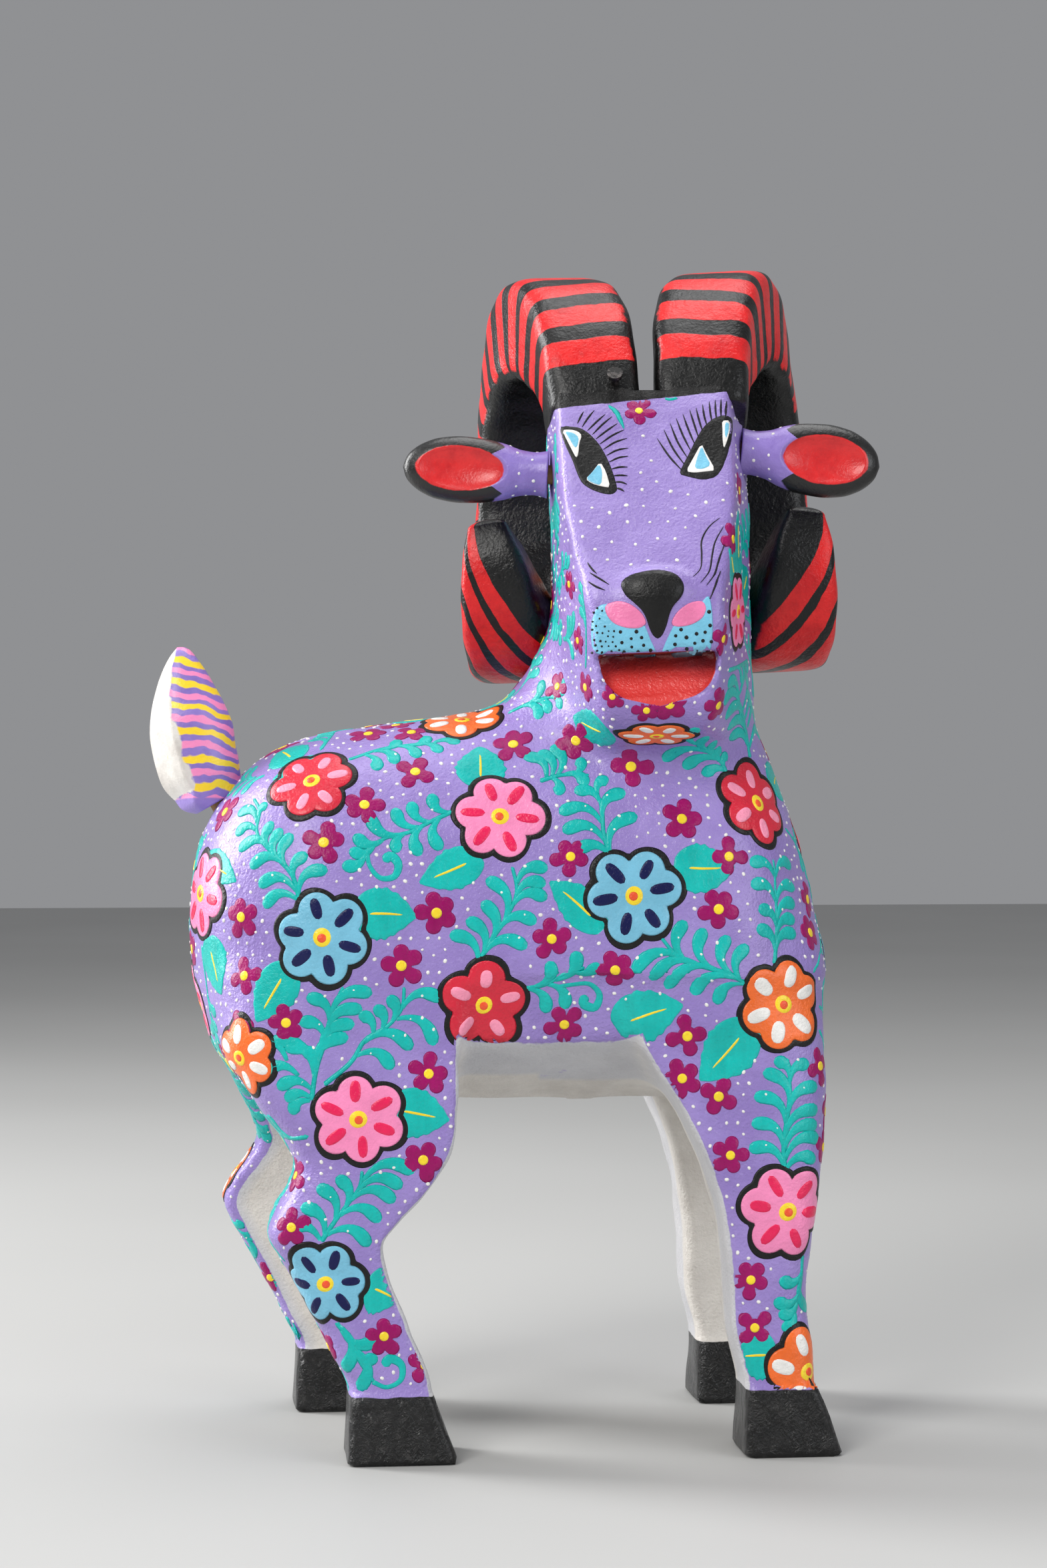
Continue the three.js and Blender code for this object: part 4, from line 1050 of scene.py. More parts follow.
def near_cast(u, v, reach=26):
    """cast, moved to the closest place on the block when the ray passes beside it"""
    p = cast(u, v)
    if p is not None:
        return p
    for r in range(2, reach, 2):
        for k in range(12):
            a = k * math.pi / 6
            p = cast(u + r * math.cos(a), v + r * math.sin(a))
            if p is not None:
                return p
    return None


def hornfree(p, r):
    for t in HORN_TREES:
        q = t.find_nearest(Vector(p), r)
        if q[0] is not None:
            return False
    return True


# the flat drawing of each kind of stroke: (points, height code, faces)
# height code 0 = rim, 1 = top, values between are shoulders, -1 = underside
def fan(radius, rings=(0.35, 0.7, 0.92), n=48, cx=0.0, cy=0.0, rot=0.0, dome=0.15, bowl=1.0):
    """a star-shaped blob; radius is a number or a function of the angle"""
    a = np.linspace(0, 2 * math.pi, n, endpoint=False)
    r = radius(a) if callable(radius) else np.full(n, float(radius))
    pts, hc = [[0.0, 0.0]], [bowl]
    for q in tuple(rings) + (1.0,):
        pts += [[r[i] * q * math.cos(a[i]), r[i] * q * math.sin(a[i])] for i in range(n)]
        hc += [0.0 if q == 1.0 else (1.0 - dome * q * q) * (bowl if q < 0.84 else 1.0)] * n
    F = [(0, 1 + i, 1 + (i + 1) % n) for i in range(n)]
    m = len(rings) + 1
    for k in range(m - 1):
        b0, b1 = 1 + k * n, 1 + (k + 1) * n
        for i in range(n):
            j = (i + 1) % n
            F.append((b0 + i, b1 + i, b1 + j))
            F.append((b0 + i, b1 + j, b0 + j))
    base = len(pts)
    rim = 1 + (m - 1) * n
    under = (0.55,) if np.max(r) > 2.5 else ()
    for q in under:
        pts += [[r[i] * q * math.cos(a[i]), r[i] * q * math.sin(a[i])] for i in range(n)]
        hc += [-1.0] * n
    prev = rim
    for k in range(len(under)):
        b1 = base + k * n
        for i in range(n):
            j = (i + 1) % n
            F.append((prev + i, b1 + j, prev + j))
            F.append((prev + i, b1 + i, b1 + j))
        prev = b1
    pts.append([0.0, 0.0])
    hc.append(-1.0)
    c = len(pts) - 1
    for i in range(n):
        F.append((c, prev + (i + 1) % n, prev + i))
    P = np.array(pts)
    co, si = math.cos(rot), math.sin(rot)
    P = P @ np.array([[co, si], [-si, co]]) + np.array([cx, cy])
    return P, np.array(hc), F


def ribbon(spine, width, cols=3, shoulder=0.62):
    """a stroke along a flat curve; width holds the half width at each station"""
    S = np.asarray(spine, float)
    W = np.asarray(width, float)
    T = np.gradient(S, axis=0)
    T /= np.maximum(np.linalg.norm(T, axis=1, keepdims=True), 1e-9)
    N = np.stack([-T[:, 1], T[:, 0]], 1)
    offs = {3: (-1, 0, 1), 5: (-1, -shoulder, 0, shoulder, 1)}[cols]
    hs = {3: (0, 1, 0), 5: (0, 0.86, 1, 0.86, 0)}[cols]
    m = len(S)
    P = np.concatenate([S + N * W[:, None] * o for o in offs])
    hc = np.concatenate([np.full(m, float(h)) for h in hs])
    hc[[k * m for k in range(cols)]] = 0
    hc[[k * m + m - 1 for k in range(cols)]] = 0
    F = []
    for c in range(cols - 1):
        for i in range(m - 1):
            a, b = c * m + i, (c + 1) * m + i
            F.append((a, a + 1, b + 1))
            F.append((a, b + 1, b))
    L = (cols - 1) * m
    for i in range(m - 1):
        F.append((i, L + i + 1, i + 1))
        F.append((i, L + i, L + i + 1))
    # the two ends
    e0 = [k * m for k in range(cols)]
    e1 = [k * m + m - 1 for k in range(cols)]
    for k in range(1, cols - 1):
        F.append((e0[0], e0[k], e0[k + 1]))
        F.append((e1[0], e1[k + 1], e1[k]))
    return P, hc, F


FAN = fan


def sheet(spine, width):
    """a broad patch along a flat curve, with an underside of its own"""
    S = np.asarray(spine, float)
    W = np.asarray(width, float)
    T = np.gradient(S, axis=0)
    T /= np.maximum(np.linalg.norm(T, axis=1, keepdims=True), 1e-9)
    N = np.stack([-T[:, 1], T[:, 0]], 1)
    top = (-1, -0.93, -0.76, -0.55, -0.32, -0.1, 0.1, 0.32, 0.55, 0.76, 0.93, 1)
    low = (0.7, 0.35, 0.0, -0.35, -0.7)
    m = len(S)
    P, hc = [], []
    for o in top + low:
        P.append(S + N * W[:, None] * o)
    for k in range(len(top)):
        col = np.full(m, 0.0 if k in (0, len(top) - 1) else 1.0)
        col[0] = col[-1] = 0.0
        hc.append(col)
    for k in range(len(low)):
        hc.append(np.full(m, -1.0))
    c = len(top) + len(low)
    F = []
    for k in range(c):
        for i in range(m - 1):
            a, b = k * m + i, ((k + 1) % c) * m + i
            F += [(a, a + 1, b + 1), (a, b + 1, b)]
    for k in range(1, c - 1):
        F.append((0, k * m, (k + 1) * m))
        F.append((m - 1, (k + 1) * m + m - 1, k * m + m - 1))
    return np.concatenate(P), np.concatenate(hc), F


def curve2(pts, n):
    """a smooth flat curve through a few points"""
    p = np.asarray(pts, float)
    if len(p) == 2:
        t = np.linspace(0, 1, n)[:, None]
        return p[0] * (1 - t) + p[1] * t
    d = np.concatenate([[0], np.cumsum(np.linalg.norm(np.diff(p, axis=0), axis=1))])
    out = np.zeros((n, 2))
    m = np.gradient(p, d, axis=0)
    for k, t in enumerate(np.linspace(0, d[-1], n)):
        i = min(max(np.searchsorted(d, t, side="right") - 1, 0), len(d) - 2)
        h = d[i + 1] - d[i]
        s = (t - d[i]) / h
        out[k] = ((2 * s**3 - 3 * s**2 + 1) * p[i] + (s**3 - 2 * s**2 + s) * h * m[i]
                  + (-2 * s**3 + 3 * s**2) * p[i + 1] + (s**3 - s**2) * h * m[i + 1])
    return out


def comma(a, b, bend, head=1.9, tail=0.55, n=12):
    """a leaflet: thin where it leaves the stem, round and full at its end"""
    a, b = np.asarray(a, float), np.asarray(b, float)
    d = b - a
    nrm = np.array([-d[1], d[0]])
    mid = (a + b) / 2 + nrm * bend
    t = np.linspace(0, 1, n)
    t = 1 - (1 - t) ** 1.25
    S = (1 - t)[:, None] ** 2 * a + (2 * t * (1 - t))[:, None] * mid + t[:, None] ** 2 * b
    L = np.linalg.norm(d) * 1.08
    w = tail + (head - tail) * np.clip((t - 0.05) / 0.68, 0, 1) ** 1.35
    e = (1 - t) * L
    w = np.where(e < head, np.sqrt(np.clip(1 - ((head - e) / head) ** 2, 0.0, 1)) * w, w)
    w = np.maximum(w, 0.12)
    return ribbon(S, w, 5)


class Coat:
    """gathers strokes of one colour"""

    def __init__(self):
        self.items = {}

    def add(self, col, frame_, shape, lo, hi, big=True, under=-0.28):
        P, hc, F = shape
        h = np.where(hc < 0, under, lo + (hi - lo) * np.clip(hc, 0, 1))
        self.items.setdefault(col, []).append((frame_, P, h, F, big))


coat = Coat()
OCC = np.zeros((48000, 4))          # occupied places: x, y, z, radius
OCN = [0]
BIGS, SMALLS = [], []


def frame_at(p, toward=None, ang=None):
    """a flat frame on the skin near p, its first axis toward a second place"""
    hit = BODY_TREE.find_nearest(Vector(p))
    q, n = np.array(hit[0]), np.array(hit[1])
    if toward is not None:
        t = np.asarray(toward, float) - q
    else:
        t = np.cross(n, [0.0, 0, 1.0])
        if np.linalg.norm(t) < 0.2:
            t = np.array([1.0, 0, 0])
        t = t / np.linalg.norm(t)
        s = np.cross(n, t)
        a = ang or 0.0
        t = t * math.cos(a) + s * math.sin(a)
    t = t - n * t.dot(n)
    t /= max(np.linalg.norm(t), 1e-9)
    return q, t, np.cross(n, t), n


def flat(fr, q):
    """where a place on the skin falls on the frame's flat drawing"""
    d = np.asarray(q, float) - fr[0]
    a, b = d.dot(fr[1]), d.dot(fr[2])
    L = math.hypot(a, b)
    if L < 1e-6:
        return np.zeros(2)
    return np.array([a, b]) / L * np.linalg.norm(d)


def occupy(p, r):
    OCC[OCN[0]] = (p[0], p[1], p[2], r)
    OCN[0] += 1


def free(p, r):
    O = OCC[:OCN[0]]
    return bool(np.all(((O[:, :3] - np.asarray(p)) ** 2).sum(1) > (O[:, 3] + r) ** 2))


def petals(n, r, valley, seed, jit=0.05, sharp=0.75):
    g = np.random.default_rng(seed)
    off = g.uniform(-0.10, 0.10, n)
    rr = r * (1 + g.uniform(-jit, jit, n))
    cen = np.arange(n) * 2 * math.pi / n + off

    def f(a):
        out = np.full(len(a), valley * 0.9)
        # each petal is a round lobe; the outline is the furthest lobe seen
        lobe = r * math.sin(math.pi / n) * (0.77 if n > 5 else 0.72)
        for k in range(n):
            c = rr[k] - lobe
            d = a - cen[k]
            disc = lobe ** 2 - (c * np.sin(d)) ** 2
            ok = (disc > 0) & (np.cos(d) > 0)
            out = np.where(ok, np.maximum(out, c * np.cos(d) + np.sqrt(np.maximum(disc, 0))), out)
        return out
    return f, cen


BIG_COL = {"red": ("red_petal", "pink_stroke"), "pink": ("pink_petal", "crimson"),
           "blue": ("blue_petal", "navy"), "orange": ("orange_petal", "white")}


def big_flower(p, kind, r=9.7, n=6, seed=0, ang=None, squash=1.0):
    fr = frame_at(p, ang=ang if ang is not None else 0.3 * seed)
    pet, cen = petals(n, r, r * 0.70, seed)
    g = np.random.default_rng(seed + 1000)
    wob = g.uniform(0, 6.28, 3)

    def outline(a):
        # the black edge: the petals' edge pushed out by an uneven brush
        k = 1.12 + 0.20 * np.sin(3 * a + wob[0]) + 0.12 * np.sin(7 * a + wob[1])
        best = pet(a) + 0.8
        for s in np.linspace(-0.15, 0.15, 13):
            e = pet(a + s)
            q = k * k - (e * math.sin(s)) ** 2
            best = np.where(q > 0, np.maximum(best, e * math.cos(s) + np.sqrt(np.maximum(q, 0))), best)
        return best
    c1, c2 = BIG_COL[kind]

    def fan(*a, **k):
        P, hc, F = FAN(*a, **k)
        return P * np.array([1.0, squash]), hc, F
    coat.add("black", fr, fan(outline, (0.28, 0.55, 0.8, 0.87, 0.96), 96, bowl=0.35), -0.05, 0.20)
    coat.add(c1, fr, fan(pet, (0.2, 0.4, 0.6, 0.8, 0.94), 96, dome=0.08), 0.08, 0.31)
    for k, a in enumerate(cen):
        L = r * {"red": 0.245, "pink": 0.275, "blue": 0.265, "orange": 0.265}[kind] * g.uniform(0.9, 1.1)
        w = r * {"red": 0.135, "pink": 0.118, "blue": 0.118, "orange": 0.152}[kind] * g.uniform(0.9, 1.1)
        rc = r * 0.60
        tw = a + g.uniform(-0.12, 0.12)
        coat.add(c2, fr, fan(lambda q, L=L, w=w: 1 / ((np.abs(np.cos(q)) / L) ** 2.4 + (np.abs(np.sin(q)) / w) ** 2.4) ** (1 / 2.4),
                             (0.5, 0.85), 20, rc * math.cos(a), rc * math.sin(a), tw), 0.20, 0.44)
    coat.add("yellow", fr, fan(lambda q: r * 0.205 * (1 + 0.04 * np.sin(2 * q + wob[2])), (0.5, 0.88), 22), 0.2, 0.42)
    coat.add("ember", fr, fan(r * 0.108, (0.7,), 14, 0.15, -0.1), 0.34, 0.52)
    occupy(fr[0], r + 1.0)
    BIGS.append((fr, r, kind))
    return fr


def small_flower(p, r=4.6, seed=0, narrow=False, col="magenta"):
    g = np.random.default_rng(seed + 77)
    fr = frame_at(p, ang=g.uniform(0, 6.28))
    n = 5 if g.uniform() < 0.8 else 4
    cen = np.arange(n) * 2 * math.pi / n + g.uniform(-0.16, 0.16, n)
    rr = r * g.uniform(0.88, 1.08, n)

    def f(a):
        out = np.full(len(a), r * 0.46)
        for k in range(n):
            d = a - cen[k]
            lobe = r * 0.355
            c = rr[k] - lobe
            disc = lobe ** 2 - (c * np.sin(d)) ** 2
            ok = (disc > 0) & (np.cos(d) > 0)
            out = np.where(ok, np.maximum(out, c * np.cos(d) + np.sqrt(np.maximum(disc, 0))), out)
        # a round neck between lobe and heart
        for k in range(n):
            d = a - cen[k]
            ok = (np.cos(d) > 0) & (np.abs(np.sin(d)) * (rr[k] - r * 0.3) < r * 0.2)
            out = np.where(ok, np.maximum(out, rr[k] - r * 0.3), out)
        return out
    coat.add(col, fr, fan(f, (0.3, 0.6, 0.88), 60, dome=0.25), -0.05, 0.20)
    coat.add("yellow", fr, fan(r * 0.25, (0.5, 0.85), 14), 0.06, 0.36)
    occupy(fr[0], r * 0.86)
    SMALLS.append(fr)


def leaf(base, tip, w=5.6, seed=0, rib=True, start=0.0):
    """a broad pointed leaf from base to tip with a short yellow rib"""
    fr = frame_at((np.asarray(base) + np.asarray(tip)) / 2, toward=tip)
    a, b = flat(fr, base), flat(fr, tip)
    L = np.linalg.norm(b - a)
    g = np.random.default_rng(seed + 5)
    bend = g.uniform(-0.10, 0.10)
    n = 26
    t = np.linspace(0, 1, n)
    d = b - a
    nr = np.array([-d[1], d[0]])
    S = a + d * t[:, None] + nr * (bend * 4 * t * (1 - t))[:, None] * 0.6
    prof = np.where(t < 0.42, np.sqrt(np.clip(1 - ((0.42 - t) / 0.44) ** 2, 0, 1)),
                    np.clip(1 - np.clip((t - 0.42) / 0.58, 0, 1) ** 1.7, 0, 1) ** 0.95)
    prof = prof * (1 + 0.05 * np.sin(t * 40 + seed) * (t > 0.35))
    W = np.maximum(w * prof, 0.16)
    coat.add("teal", fr, sheet(S, W), -0.05, 0.13)
    if rib:
        k = np.linspace(0.22, 0.80, 9)
        R = a + d * k[:, None] + nr * (bend * 4 * k * (1 - k))[:, None] * 0.6
        coat.add("yellow", fr, ribbon(R, 0.5 * np.clip(np.array([.5, .9, 1, 1, .95, .9, .8, .6, .3]), 0.2, 1), 3), 0.02, 0.26)
    for k in (0.25, 0.5, 0.75):
        q = np.asarray(base) * (1 - k) + np.asarray(tip) * k
        occupy(q, w * (0.8 if k < 0.7 else 0.45))


def frond(stem, leaves=(), spiral=None, w0=0.82, w1=0.55, auto=0, seed=0, size=1.0, occ=True, col="teal"):
    """a curved stem with comma leaflets; all places are on the skin"""
    stem = [np.asarray(s, float) for s in stem]
    fr = frame_at(stem[len(stem) // 2] if len(stem) > 2 else (stem[0] + stem[-1]) / 2, toward=stem[-1])
    P2 = [flat(fr, s) for s in stem]
    S = curve2(P2, 9 * len(P2) + 3)
    W = np.linspace(w0, w1, len(S))
    W[0] *= 0.5
    W[-1] *= 0.45
    coat.add(col, fr, ribbon(S, W, 3), -0.05, 0.13)
    pairs = [(flat(fr, u), flat(fr, v), u, v) for (u, v) in leaves]
    # leaflets stand as close as the brush set them
    sides = {1: [], -1: []}
    for a, b, u, v in pairs:
        i = int(np.argmin(((S - a) ** 2).sum(1)))
        T = S[min(i + 1, len(S) - 1)] - S[max(i - 1, 0)]
        d = b - a
        sides[1 if T[0] * d[1] - T[1] * d[0] > 0 else -1].append((i, a, b))
    for sd in sides:
        row = sorted(sides[sd], key=lambda r: r[0])
        for (i0, a0, b0), (i1, a1, b1) in zip(row[:-1], row[1:]):
            g = np.linalg.norm(b1 - b0)
            k = int(min(2, round(g / 4.1) - 1)) if g < 14 else 0
            for j in range(1, k + 1):
                f = j / (k + 1)
                a, b = a0 + (a1 - a0) * f, b0 + (b1 - b0) * f
                b = a + (b - a) * 0.95
                q = fr[0] + fr[1] * b[0] + fr[2] * b[1]
                q = np.array(BODY_TREE.find_nearest(Vector(q))[0])
                if free(q, 1.1):
                    pairs.append((a, b, fr[0] + fr[1] * a[0] + fr[2] * a[1], q))
    for a, b, u, v in pairs:
        # the leaflet leaves the stem itself and first runs along it
        i = int(np.argmin(((S - a) ** 2).sum(1)))
        if np.linalg.norm(S[i] - a) < 2.6:
            a = S[i]
        T = S[min(i + 1, len(S) - 1)] - S[max(i - 1, 0)]
        d = b - a
        bend = 0.26 if T[0] * -d[1] + T[1] * d[0] > 0 else -0.26
        b = b + (b - a) * 0.05
        coat.add(col, fr, comma(a, b, bend * 2.2, 1.72 * size), -0.05, 0.17)
        if occ:
            occupy(v, 1.3)
            for k, rr in ((0.28, 0.8), (0.52, 1.1), (0.76, 1.5)):
                q = fr[0] + fr[1] * (a[0] + (b[0] - a[0]) * k) + fr[2] * (a[1] + (b[1] - a[1]) * k)
                occupy(np.array(BODY_TREE.find_nearest(Vector(q))[0]), rr)
    if occ:
        for q in S[::2]:
            occupy(np.array(BODY_TREE.find_nearest(Vector(fr[0] + fr[1] * q[0] + fr[2] * q[1]))[0]), 0.9)
        for s in stem:
            occupy(s, 1.0)
        for a, b in zip(stem[:-1], stem[1:]):
            occupy((a + b) / 2, 1.0)
    return fr


def curl(pts, w=(0.62, 0.55, 0.62, 0.85, 1.15, 1.35), col="teal"):
    """a rolled stroke ending in a full round tip"""
    pts = [np.asarray(p, float) for p in pts]
    c = np.mean(pts, axis=0)
    fr = frame_at(c, toward=pts[-1])
    S = curve2([flat(fr, p) for p in pts], 30)
    t = np.linspace(0, 1, 30)
    W = np.interp(t, np.linspace(0, 1, len(w)), w)
    L = np.linalg.norm(np.diff(S, axis=0), axis=1).sum()
    e = (1 - t) * L
    W = np.where(e < 1.3, np.sqrt(np.clip(1 - ((1.3 - e) / 1.3) ** 2, 0, 1)) * W, W)
    coat.add(col, fr, ribbon(S, np.maximum(W, 0.12), 5), -0.05, 0.16)
    for p in pts:
        occupy(p, 1.2)


def seat_gap(p, r):
    p = np.asarray(p)
    for e in EARS.values():
        if np.linalg.norm(p - e["root"]) < 7.0 + r:
            return False
    return np.linalg.norm(p - TAIL_ROOT) >= 8.2 + r


def masks(P):
    """how far each place is inside a part that carries no strokes"""
    a = body_attrs(P)
    return np.maximum.reduce([a["a_white"], a["a_hoof"], a["a_crown"], np.where(a["a_mouth"] > 0, 1, -9)])


def pick(s):
    """short names for the drawing's four enlargements"""
    k = {"A": (290, 1090, 3.336), "B": (690, 1050, 2.8), "C": (310, 1540, 2.751), "D": (970, 1540, 2.751), "H": (560, 380, 1.96)}
    return k[s]


def at(s, x, y):
    x0, y0, q = pick(s)
    return near_cast(x0 + x / q, y0 + y / q)


def run(s, flatlist):
    return [at(s, flatlist[i], flatlist[i + 1]) for i in range(0, len(flatlist), 2)]


MIR = []       # what the near side holds, for the far side


def near_frond(stem, leaves, **kw):
    st = [at(*q) for q in stem]
    lv = [(at(*a), at(*b)) for a, b in leaves]
    if any(p is None for p in st):
        return
    lv = [l for l in lv if l[0] is not None and l[1] is not None]
    frond(st, lv, **kw)
    MIR.append(("frond", st, lv))


def many(s, rows):
    return [((s, r[0], r[1]), (s, r[2], r[3])) for r in rows]


def pts(s, rows):
    return [(s, r[0], r[1]) for r in rows]


DISP = 1568 / 1336
# the large flowers: place, colour, size, petals, turn
for (x, y, kind, r, n, seed) in (
        (398, 997, "red", 9.6, 6, 1), (590, 920, "orange", 9.0, 6, 2), (638, 1042, "pink", 9.4, 6, 3),
        (809, 1143, "blue", 9.2, 6, 4), (966, 1025, "red", 9.6, 6, 5), (411, 1196, "blue", 9.8, 6, 6),
        (617, 1282, "red", 9.4, 5, 7), (999, 1281, "orange", 9.4, 6, 8), (457, 1428, "pink", 9.4, 6, 9),
        (1005, 1546, "pink", 9.2, 6, 10), (415, 1638, "blue", 8.6, 6, 11), (1030, 1750, "orange", 8.6, 5, 12),
        (257, 1140, "pink", 9.4, 6, 13), (838, 938, "orange", 8.6, 6, 14), (306, 1350, "orange", 8.8, 6, 16)):
    p = near_cast(x * DISP, y * DISP)
    r *= {1: 1.02, 4: 1.16, 8: 1.13, 10: 1.14, 12: 1.20, 5: 1.03, 14: 1.0, 16: 1.0}.get(seed, 1.08)
    if p is not None and seed == 14:
        big_flower(p, kind, r, n, seed, 0.0, 0.5)
    elif p is not None:
        big_flower(p, kind, r, n, seed)
        MIR.append(("big", p, kind, r, n, seed))

# one flower folds round the hock of the far leg
p = near_cast(340, 1744)
if p is not None and p[1] > 0:
    big_flower(p, "orange", 7.4, 5, 52)

for k, (x, y, r) in enumerate((
        (655, 950, 4.7), (530, 985, 4.6), (465, 1027, 4.6), (413, 1075, 4.7), (728, 1093, 4.3), (805, 978, 4.8), (870, 1045, 4.7),
        (930, 1093, 4.4), (917, 1160, 4.6), (785, 1238, 4.5), (704, 1198, 4.4), (557, 1165, 4.8), (512, 1232, 4.8),
        (308, 1170, 4.6), (312, 1245, 4.4), (365, 1305, 4.4), (303, 1315, 4.2), (720, 1307, 4.4), (877, 1322, 4.6),
        (547, 1370, 4.4), (540, 1480, 4.5), (917, 1399, 4.6), (932, 1474, 4.2), (378, 1500, 4.0), (372, 1566, 4.2), (490, 1705, 4.2),
        (540, 1742, 4.0), (958, 1633, 4.2), (963, 1694, 4.2), (1033, 1190, 4.4), (735, 945, 4.6), (345, 1630, 3.8),
        (1046, 1360, 4.2), (1050, 1462, 4.2), (470, 937, 4.4), (525, 935, 4.2))):
    p = near_cast(x * DISP, y * DISP)
    if p is not None:
        small_flower(p, r * 1.08, k)
        MIR.append(("small", p, r * 1.08, k))

# the broad leaves: base, tip, half width
for k, (b, t, w) in enumerate((
        (("A", 800, 935), ("A", 1115, 945), 5.9), (("A", 480, 1180), ("A", 312, 1470), 5.2), (("A", 1440, 640), ("A", 1125, 775), 4.7),
        (("A", 1430, 300), ("A", 1425, 92), 5.8), (("A", 640, 150), ("A", 392, 262), 3.6), (("A", 50, 680), ("A", 215, 770), 4.2),
        (("B", 890, 690), ("B", 1150, 692), 5.6), (("B", 600, 960), ("B", 370, 755), 4.6), (("B", 640, 1372), ("B", 935, 1275), 6.0),
        (("B", 1215, 1340), ("B", 1000, 1592), 6.2), (("B", 640, 140), ("B", 470, 62), 5.0), (("C", 745, 330), ("C", 1000, 378), 5.6),
        (("C", 655, 1060), ("C", 800, 1110), 5.6), (("D", 530, 1345), ("D", 372, 1345), 5.6))):
    b, t = at(*b), at(*t)
    if b is not None and t is not None:
        leaf(b, t, w, k)
        MIR.append(("leaf", b, t, w, k))

near_frond(pts("A", [(545, 880), (500, 740), (400, 630), (315, 510), (330, 420), (300, 350)]),
           many("A", [(515, 880, 365, 905), (505, 840, 335, 800), (460, 720, 290, 705), (385, 640, 230, 618), (320, 520, 215, 540),
                      (310, 480, 220, 435), (565, 830, 680, 720), (525, 760, 575, 640), (485, 690, 500, 540), (400, 600, 400, 475),
                      (335, 450, 370, 385)]))
near_frond(pts("A", [(770, 160), (900, 115), (1060, 85), (1220, 75)]),
           many("A", [(930, 105, 1010, 60), (1060, 85, 1160, 40), (850, 135, 900, 210), (900, 125, 1000, 180), (1000, 100, 1110, 150),
                      (1120, 85, 1220, 125), (1200, 75, 1320, 80)]))
near_frond(pts("A", [(1330, 400), (1180, 470), (1080, 520), (960, 550), (860, 610)]),
           many("A", [(1280, 420, 1200, 330), (1180, 470, 1100, 370), (1130, 490, 1015, 400), (1060, 520, 885, 430), (960, 550, 810, 530),
                      (1240, 450, 1245, 600), (1150, 490, 1140, 630), (1060, 520, 1025, 620), (860, 610, 745, 680)]))
near_frond([("C", 430, 300), ("C", 450, 170), ("A", 665, 1540), ("A", 690, 1420), ("A", 750, 1290)],
           [(("C", 420, 260), ("C", 295, 255)), (("C", 415, 215), ("C", 268, 60)), (("C", 440, 185), ("C", 390, 95)),
            (("A", 655, 1480), ("A", 565, 1355)), (("A", 640, 1560), ("A", 530, 1480)), (("C", 455, 200), ("C", 580, 45)),
            (("A", 690, 1450), ("A", 885, 1335)), (("C", 420, 320), ("C", 352, 357)), (("C", 330, 140), ("C", 180, 60)),
            (("C", 380, 200), ("C", 235, 190))])
near_frond([("C", 480, 235), ("C", 600, 130), ("C", 650, 50), ("A", 980, 1480), ("A", 1040, 1400), ("A", 1052, 1290)],
           [(("C", 620, 120), ("C", 755, 170)), (("C", 650, 70), ("C", 835, 90)), (("A", 1010, 1460), ("A", 1190, 1585)),
            (("A", 1060, 1420), ("A", 1235, 1365)), (("A", 985, 1480), ("A", 965, 1350)), (("A", 915, 1568), ("A", 825, 1440))])
near_frond(pts("B", [(65, 1120), (110, 1030), (190, 910), (235, 800), (215, 690)]),
           many("B", [(65, 1100, -45, 990), (75, 1060, 22, 925), (115, 1020, 85, 850), (170, 920, 105, 755), (100, 1070, 270, 1040),
                      (150, 960, 310, 935), (225, 860, 355, 835), (240, 770, 360, 710)]))
near_frond(pts("B", [(230, 1210), (350, 1190), (450, 1140), (520, 1110)]),
           many("B", [(290, 1200, 375, 1075), (390, 1170, 465, 1045), (470, 1130, 565, 1085), (270, 1210, 355, 1310), (360, 1190, 430, 1290)]))
near_frond(pts("B", [(640, 680), (600, 560), (590, 440), (560, 360)]),
           many("B", [(625, 660, 490, 635), (610, 600, 435, 555), (595, 520, 420, 475), (585, 430, 480, 385), (650, 640, 740, 490),
                      (605, 500, 690, 390), (575, 390, 620, 330)]))
near_frond(pts("B", [(1210, 1210), (1140, 1150), (1040, 1120), (950, 1095), (890, 1050), (840, 990)]),
           many("B", [(1200, 1160, 1210, 1030), (1150, 1140, 1130, 990), (1060, 1120, 1030, 960), (960, 1080, 950, 930), (960, 1100, 735, 1140),
                      (1010, 1120, 810, 1180), (1080, 1140, 880, 1215), (1170, 1170, 980, 1240), (1195, 1200, 1070, 1285)]))
near_frond(pts("B", [(1315, 1110), (1325, 950), (1320, 800), (1310, 660)]),
           many("B", [(1310, 1060, 1240, 960), (1320, 960, 1250, 880), (1315, 850, 1220, 780), (1312, 740, 1215, 690), (1325, 1060, 1405, 985),
                      (1330, 930, 1400, 860), (1325, 850, 1400, 790), (1320, 740, 1385, 700)]))
near_frond(pts("B", [(1220, 240), (1200, 140), (1170, 40), (1160, -50)]),
           many("B", [(1210, 190, 1125, 160), (1190, 120, 1110, 75), (1170, 50, 1105, 15), (1215, 200, 1255, 150), (1200, 120, 1240, 70),
                      (1180, 50, 1215, 0), (1165, -10, 1120, -60), (1165, -20, 1205, -60)]))
near_frond(pts("B", [(330, 335), (420, 310), (540, 310)]),
           many("B", [(360, 325, 262, 235), (400, 310, 375, 195), (470, 310, 490, 240), (430, 315, 520, 355), (380, 320, 400, 390)]))
near_frond(pts("B", [(1095, 380), (1085, 270), (1010, 190), (930, 150)]),
           many("B", [(1090, 300, 1120, 225), (1050, 230, 860, 260), (1000, 185, 1000, 115), (1070, 250, 1075, 165), (1090, 330, 1020, 330)]))
near_frond(pts("C", [(470, 880), (530, 790), (590, 710), (630, 650), (640, 585)]),
           many("C", [(430, 890, 335, 835), (470, 850, 385, 740), (510, 790, 450, 660), (570, 740, 530, 620), (490, 860, 660, 900),
                      (540, 780, 705, 800), (590, 710, 765, 720), (640, 645, 845, 600)]))
